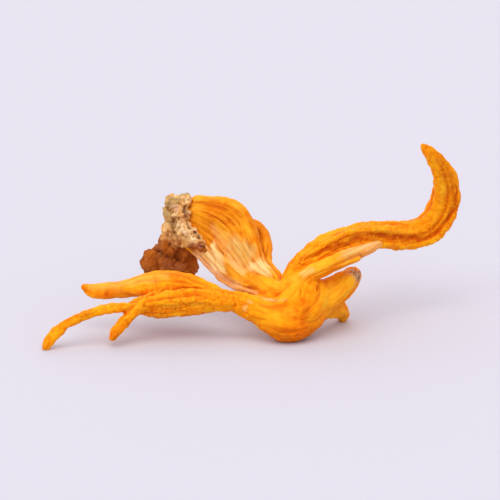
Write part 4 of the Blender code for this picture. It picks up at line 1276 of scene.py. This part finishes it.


# %% [markdown]
# ### Dried flesh
# Fungus flesh dries matt and a little leathery. Its orange comes from carotenoids all
# through the flesh, so to the eye it is strong and even, with no shine beyond a dull silk.
# Streaks follow the fibres. Hollows, folds and furrows are painted redder, as painted shade,
# ridges lighter, as painted highlight, and the grains of the fertile clubs light on top and
# red between, as painted highlight and shade. Where the flesh is torn, or where it grew
# in the dark, it never coloured, and shows cream, pink or a greenish beige.

# %% The textures and glazes of the flesh
FLESH_TEXTURES = {
    "streaks": ("fibres", 0.5, 4.0),       # fibres half a millimetre wide; their place is in mm
    "mottle": ("space", 1.1 * MM, 3.0),    # specks of lighter and darker orange
    "blotches": ("space", 4.5 * MM, 3.0),  # soft patches
    "fine": ("space", 0.22 * MM, 3.0),     # the finest texture that still shows in the picture
}
FLESH_RELIEF, FLESH_RELIEF_DEPTH = {"streaks": 1.0, "fine": 1.0}, 0.08 * MM
SILK = 0.14              # how much light the flesh mirrors: next to none


def flesh_glazes(ripe, mid, light, deep, pale, cream):
    """From the ripest orange to the palest cream, the way the flesh is built up."""
    return [
        ("all", 0, 0, 1.0, "streaks", [(0.32, ripe), (0.5, mid), (0.72, light)]),
        ("all", 0, 0, 0.5, "mottle", [(0.34, ripe), (0.5, mid), (0.66, light)]),
        ("all", 0, 0, 0.45, "blotches", [(0.38, ripe), (0.5, mid), (0.62, light)]),
        # painted shade: hollows, folds, cavities, furrows and cuts go deep red; painted highlight: ridges go
        # light
        ("hollow", 0.55, 1.0, 0.75, None, deep),
        ("fold", 0.2, 1.0, 0.35, None, deep),
        ("cavity", 0.6, 1.0, 0.45, None, deep),
        ("cavity", 0.42, 0.05, 0.6, None, light),
        ("furrow", 0.0, 1.0, 0.6, None, deep),
        ("cut", 0.1, 1.0, 0.6, None, deep),
        # the red zone: painted shade on undersides and in grooves, with a few real spots
        ("deep", 0.0, 1.0, 1.0, "streaks", [(0.35, deep), (0.65, ripe)]),
        # painted highlight on the top of each grain, painted shade between the grains
        ("grain", 0.42, 0.85, 0.5, None, light),
        ("grain", 0.3, 0.05, 0.35, None, deep),
        # painted highlight: golden streaks on the bulges and tops that face the light
        ("golden_highlight", 0.0, 1.0, 0.6, "streaks", [(0.3, mid), (0.6, "#ffc02c")]),
        ("pale", 0.0, 1.0, 1.0, "streaks", [(0.24, light), (0.42, pale), (0.74, cream)]),
        ("torn", 0.0, 1.0, 1.0, "streaks", [(0.32, "#d4844c"), (0.5, "#e6a670"), (0.68, "#f8cea4")]),
        ("dull", 0.0, 1.0, 1.0, "streaks", [(0.35, "#e09a38"), (0.5, "#e0b460"), (0.65, "#e8cc8c")]),
        ("residue", 0.0, 1.0, 1.0, "streaks", [(0.34, "#6b4020"), (0.48, "#b98050"), (0.62, "#e6d2be")]),
    ]


# %% Three finishes of the same flesh
# the clubs: ripe and full of colour, a strong orange with a dull silk on its ridges
club_flesh = painted(
    "dried_club_flesh", "#fd9606", FLESH_TEXTURES,
    flesh_glazes(ripe="#f47204", mid="#fd9606", light="#ffb41a", deep="#c44800",
                 pale="#ffc868", cream="#ffdc98"),
    FLESH_RELIEF, FLESH_RELIEF_DEPTH, roughness=0.62, specular=SILK)
# the fan: thin, tough flesh near the root, browner in its hollows, lighter on its pleats
fan_flesh = painted(
    "dried_fan_flesh", "#f4940e", FLESH_TEXTURES,
    flesh_glazes(ripe="#e47202", mid="#f4940e", light="#fdb030", deep="#ac4000",
                 pale="#ffd080", cream="#ffe2a4"),
    FLESH_RELIEF, FLESH_RELIEF_DEPTH, roughness=0.64, specular=SILK)
# the torn stub: bare fibres without a skin, which look dry, dusty and a little pink
stub_flesh = painted(
    "torn_pale_flesh", "#fd9c10", FLESH_TEXTURES,
    flesh_glazes(ripe="#f27c04", mid="#fb9a10", light="#ffb830", deep="#b84806",
                 pale="#fdc47c", cream="#ffdca4"),
    FLESH_RELIEF, FLESH_RELIEF_DEPTH, roughness=0.66, specular=SILK)

# %% [markdown]
# ### Crust of husks
# The remnant is dead plant matter. It is matt and dusty: tan and beige where a skin of
# pale threads covers it, rust brown below, with no shine at all. Its pits are painted nearly
# black and its hollows dark, as painted shade.

# %% The crust material
# husks and crumbs: dry plant matter, which scatters all light and shows no highlight
husk_crust = painted(
    "husk_crust", "#a4581e",
    {
        "husks": ("space", 1.2 * MM, 4.0),     # a husk is 1 to 2 mm wide
        "tint": ("space", 2.6 * MM, 2.0),      # patches of threads and of stain
        "dust": ("space", 0.5 * MM, 3.0),
        "fine": ("space", 0.25 * MM, 3.0),
    },
    [
        ("all", 0, 0, 1.0, "husks", [(0.32, "#864212"), (0.5, "#aa581a"), (0.7, "#c0702c")]),
        ("tint", 0.48, 0.36, 0.3, "dust", [(0.42, "#985a3a"), (0.6, "#b47e5c")]),
        ("crusty", 0.0, 1.0, 1.0, "husks", [(0.34, "#c27e40"), (0.46, "#dea25c"), (0.56, "#ebb874"),
                                            (0.7, "#f8d69c")]),
        ("green", 0.0, 1.0, 0.75, "tint", [(0.36, "#c89a5c"), (0.5, "#ac9a66"), (0.6, "#949068")]),
        ("mauve", 0.0, 1.0, 0.8, "dust", [(0.4, "#bc8468"), (0.62, "#e4b8a0")]),
        ("threads", 0.0, 1.0, 0.9, "dust", [(0.4, "#e0b070"), (0.62, "#fae2b4")]),
        # painted shadow in the gaps next to the fan
        ("shaded_gap", 0.0, 1.0, 0.7, "dust", [(0.4, "#664028"), (0.62, "#8e6248")]),
        # painted shade: the pits, hollows and cavities of the crust are painted dark
        ("pit", 0.15, 0.8, 0.6, None, "#5a3420"),
        ("hollow", 0.6, 0.95, 0.6, None, "#5e3218"),
        ("cavity", 0.62, 1.0, 0.5, None, "#7a4420"),
    ],
    {"dust": 0.6, "fine": 1.0}, 0.10 * MM, roughness=0.85, specular=0.12)

# %% [markdown]
# ## Dressing the pieces
# Each piece rides on the model's one body, stands for the solid of the same name and
# takes its finish from the table below, which pairs each finish with a slot name.

# %% Ride, replace and paint
FINISHES = {
    "base_fan": ("fan_flesh", fan_flesh),
    "pale_stub": ("pale_flesh", stub_flesh),
    "substrate_remnant": ("substrate", husk_crust),
}
for name, piece in pieces.items():
    slot, material = FINISHES.get(name, ("club_flesh", club_flesh))
    open_edges = close_lids(piece.data)
    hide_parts(name)
    piece.name = name + "_skin"
    piece.data.name = piece.name
    piece.data.materials.clear()
    piece.data.materials.append(material)
    piece.data.polygons.foreach_set("use_smooth", [True] * len(piece.data.polygons))
    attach(piece, "root")
    triangles = sum(len(face.vertices) - 2 for face in piece.data.polygons)
    print(piece.name, triangles, "triangles,", open_edges, "open edges")

# %% [markdown]
# ## Floor, light and camera
# The cluster lies on a plain white table under large soft lights, so its shadow is pale
# and has no edge. The camera looks down by 17 degrees, from the front, from far away.

# %% Floor
FLOOR_SIDE = 6.0         # metres, so that its far edge is out of the picture
bpy.ops.mesh.primitive_plane_add(size=FLOOR_SIDE)
floor = bpy.context.object
floor.name = "floor"
# matt white paper: it takes the soft shadow, tinged with orange, and mirrors nothing
paper = bpy.data.materials.new("white_paper")
paper.use_nodes = True
paper.node_tree.nodes["Principled BSDF"].inputs["Base Color"].default_value = linear("#c8c5cd")
paper.node_tree.nodes["Principled BSDF"].inputs["Roughness"].default_value = 0.9
floor.data.materials.append(paper)
print("floor:", FLOOR_SIDE, "m wide")

# %% Lights
world = bpy.data.worlds.new("room")
bpy.context.scene.world = world
world.use_nodes = True
world.node_tree.nodes["Background"].inputs["Color"].default_value = linear("#f4f5ff")
world.node_tree.nodes["Background"].inputs["Strength"].default_value = 0.92

# name: where it stands, seen from the cluster, its width in degrees, its strength and colour
LIGHTS = {
    "softbox_top": ((-0.07, -0.37, 1.0), 62.0, 1.34, "#fffaf2"),
    "softbox_left": ((-0.85, -0.50, 0.45), 40.0, 0.34, "#fffcf8"),
    "softbox_back": ((0.0, 0.80, 0.60), 50.0, 0.52, "#fbfbff"),
}
for name, (place, width, strength, colour) in LIGHTS.items():
    light = bpy.data.lights.new(name, "SUN")
    light.angle = math.radians(width)
    light.energy = strength
    light.color = linear(colour)[:3]
    lamp = placed(name, light)
    lamp.location = place
    lamp.rotation_euler = (-lamp.location).to_track_quat("-Z", "Y").to_euler()
print("lights:", list(LIGHTS))

# %% Camera
VIEW_DOWN = math.radians(17.0)
VIEW_DISTANCE = 0.600    # metres
VIEW_WIDTH = 0.084       # metres across the picture at the cluster
SENSOR = 36.0            # mm
VIEW_RIGHT, VIEW_UP = 0.0002, 0.01326   # metres from the ribs' corner to the picture's middle

camera = bpy.data.cameras.new("camera")
camera.sensor_width = SENSOR
camera.lens = SENSOR * VIEW_DISTANCE / VIEW_WIDTH
viewer = placed("camera", camera)
forward = Vector((0.0, math.cos(VIEW_DOWN), -math.sin(VIEW_DOWN)))
upward = Vector((0.0, math.sin(VIEW_DOWN), math.cos(VIEW_DOWN)))
target = -BOX_CENTRE * MM + Vector((VIEW_RIGHT, 0.0, 0.0)) + upward * VIEW_UP
viewer.location = target - forward * VIEW_DISTANCE
viewer.rotation_euler = forward.to_track_quat("-Z", "Y").to_euler()
bpy.context.scene.camera = viewer
bpy.context.scene.view_settings.view_transform = "Standard"
print("lens:", round(camera.lens), "mm")
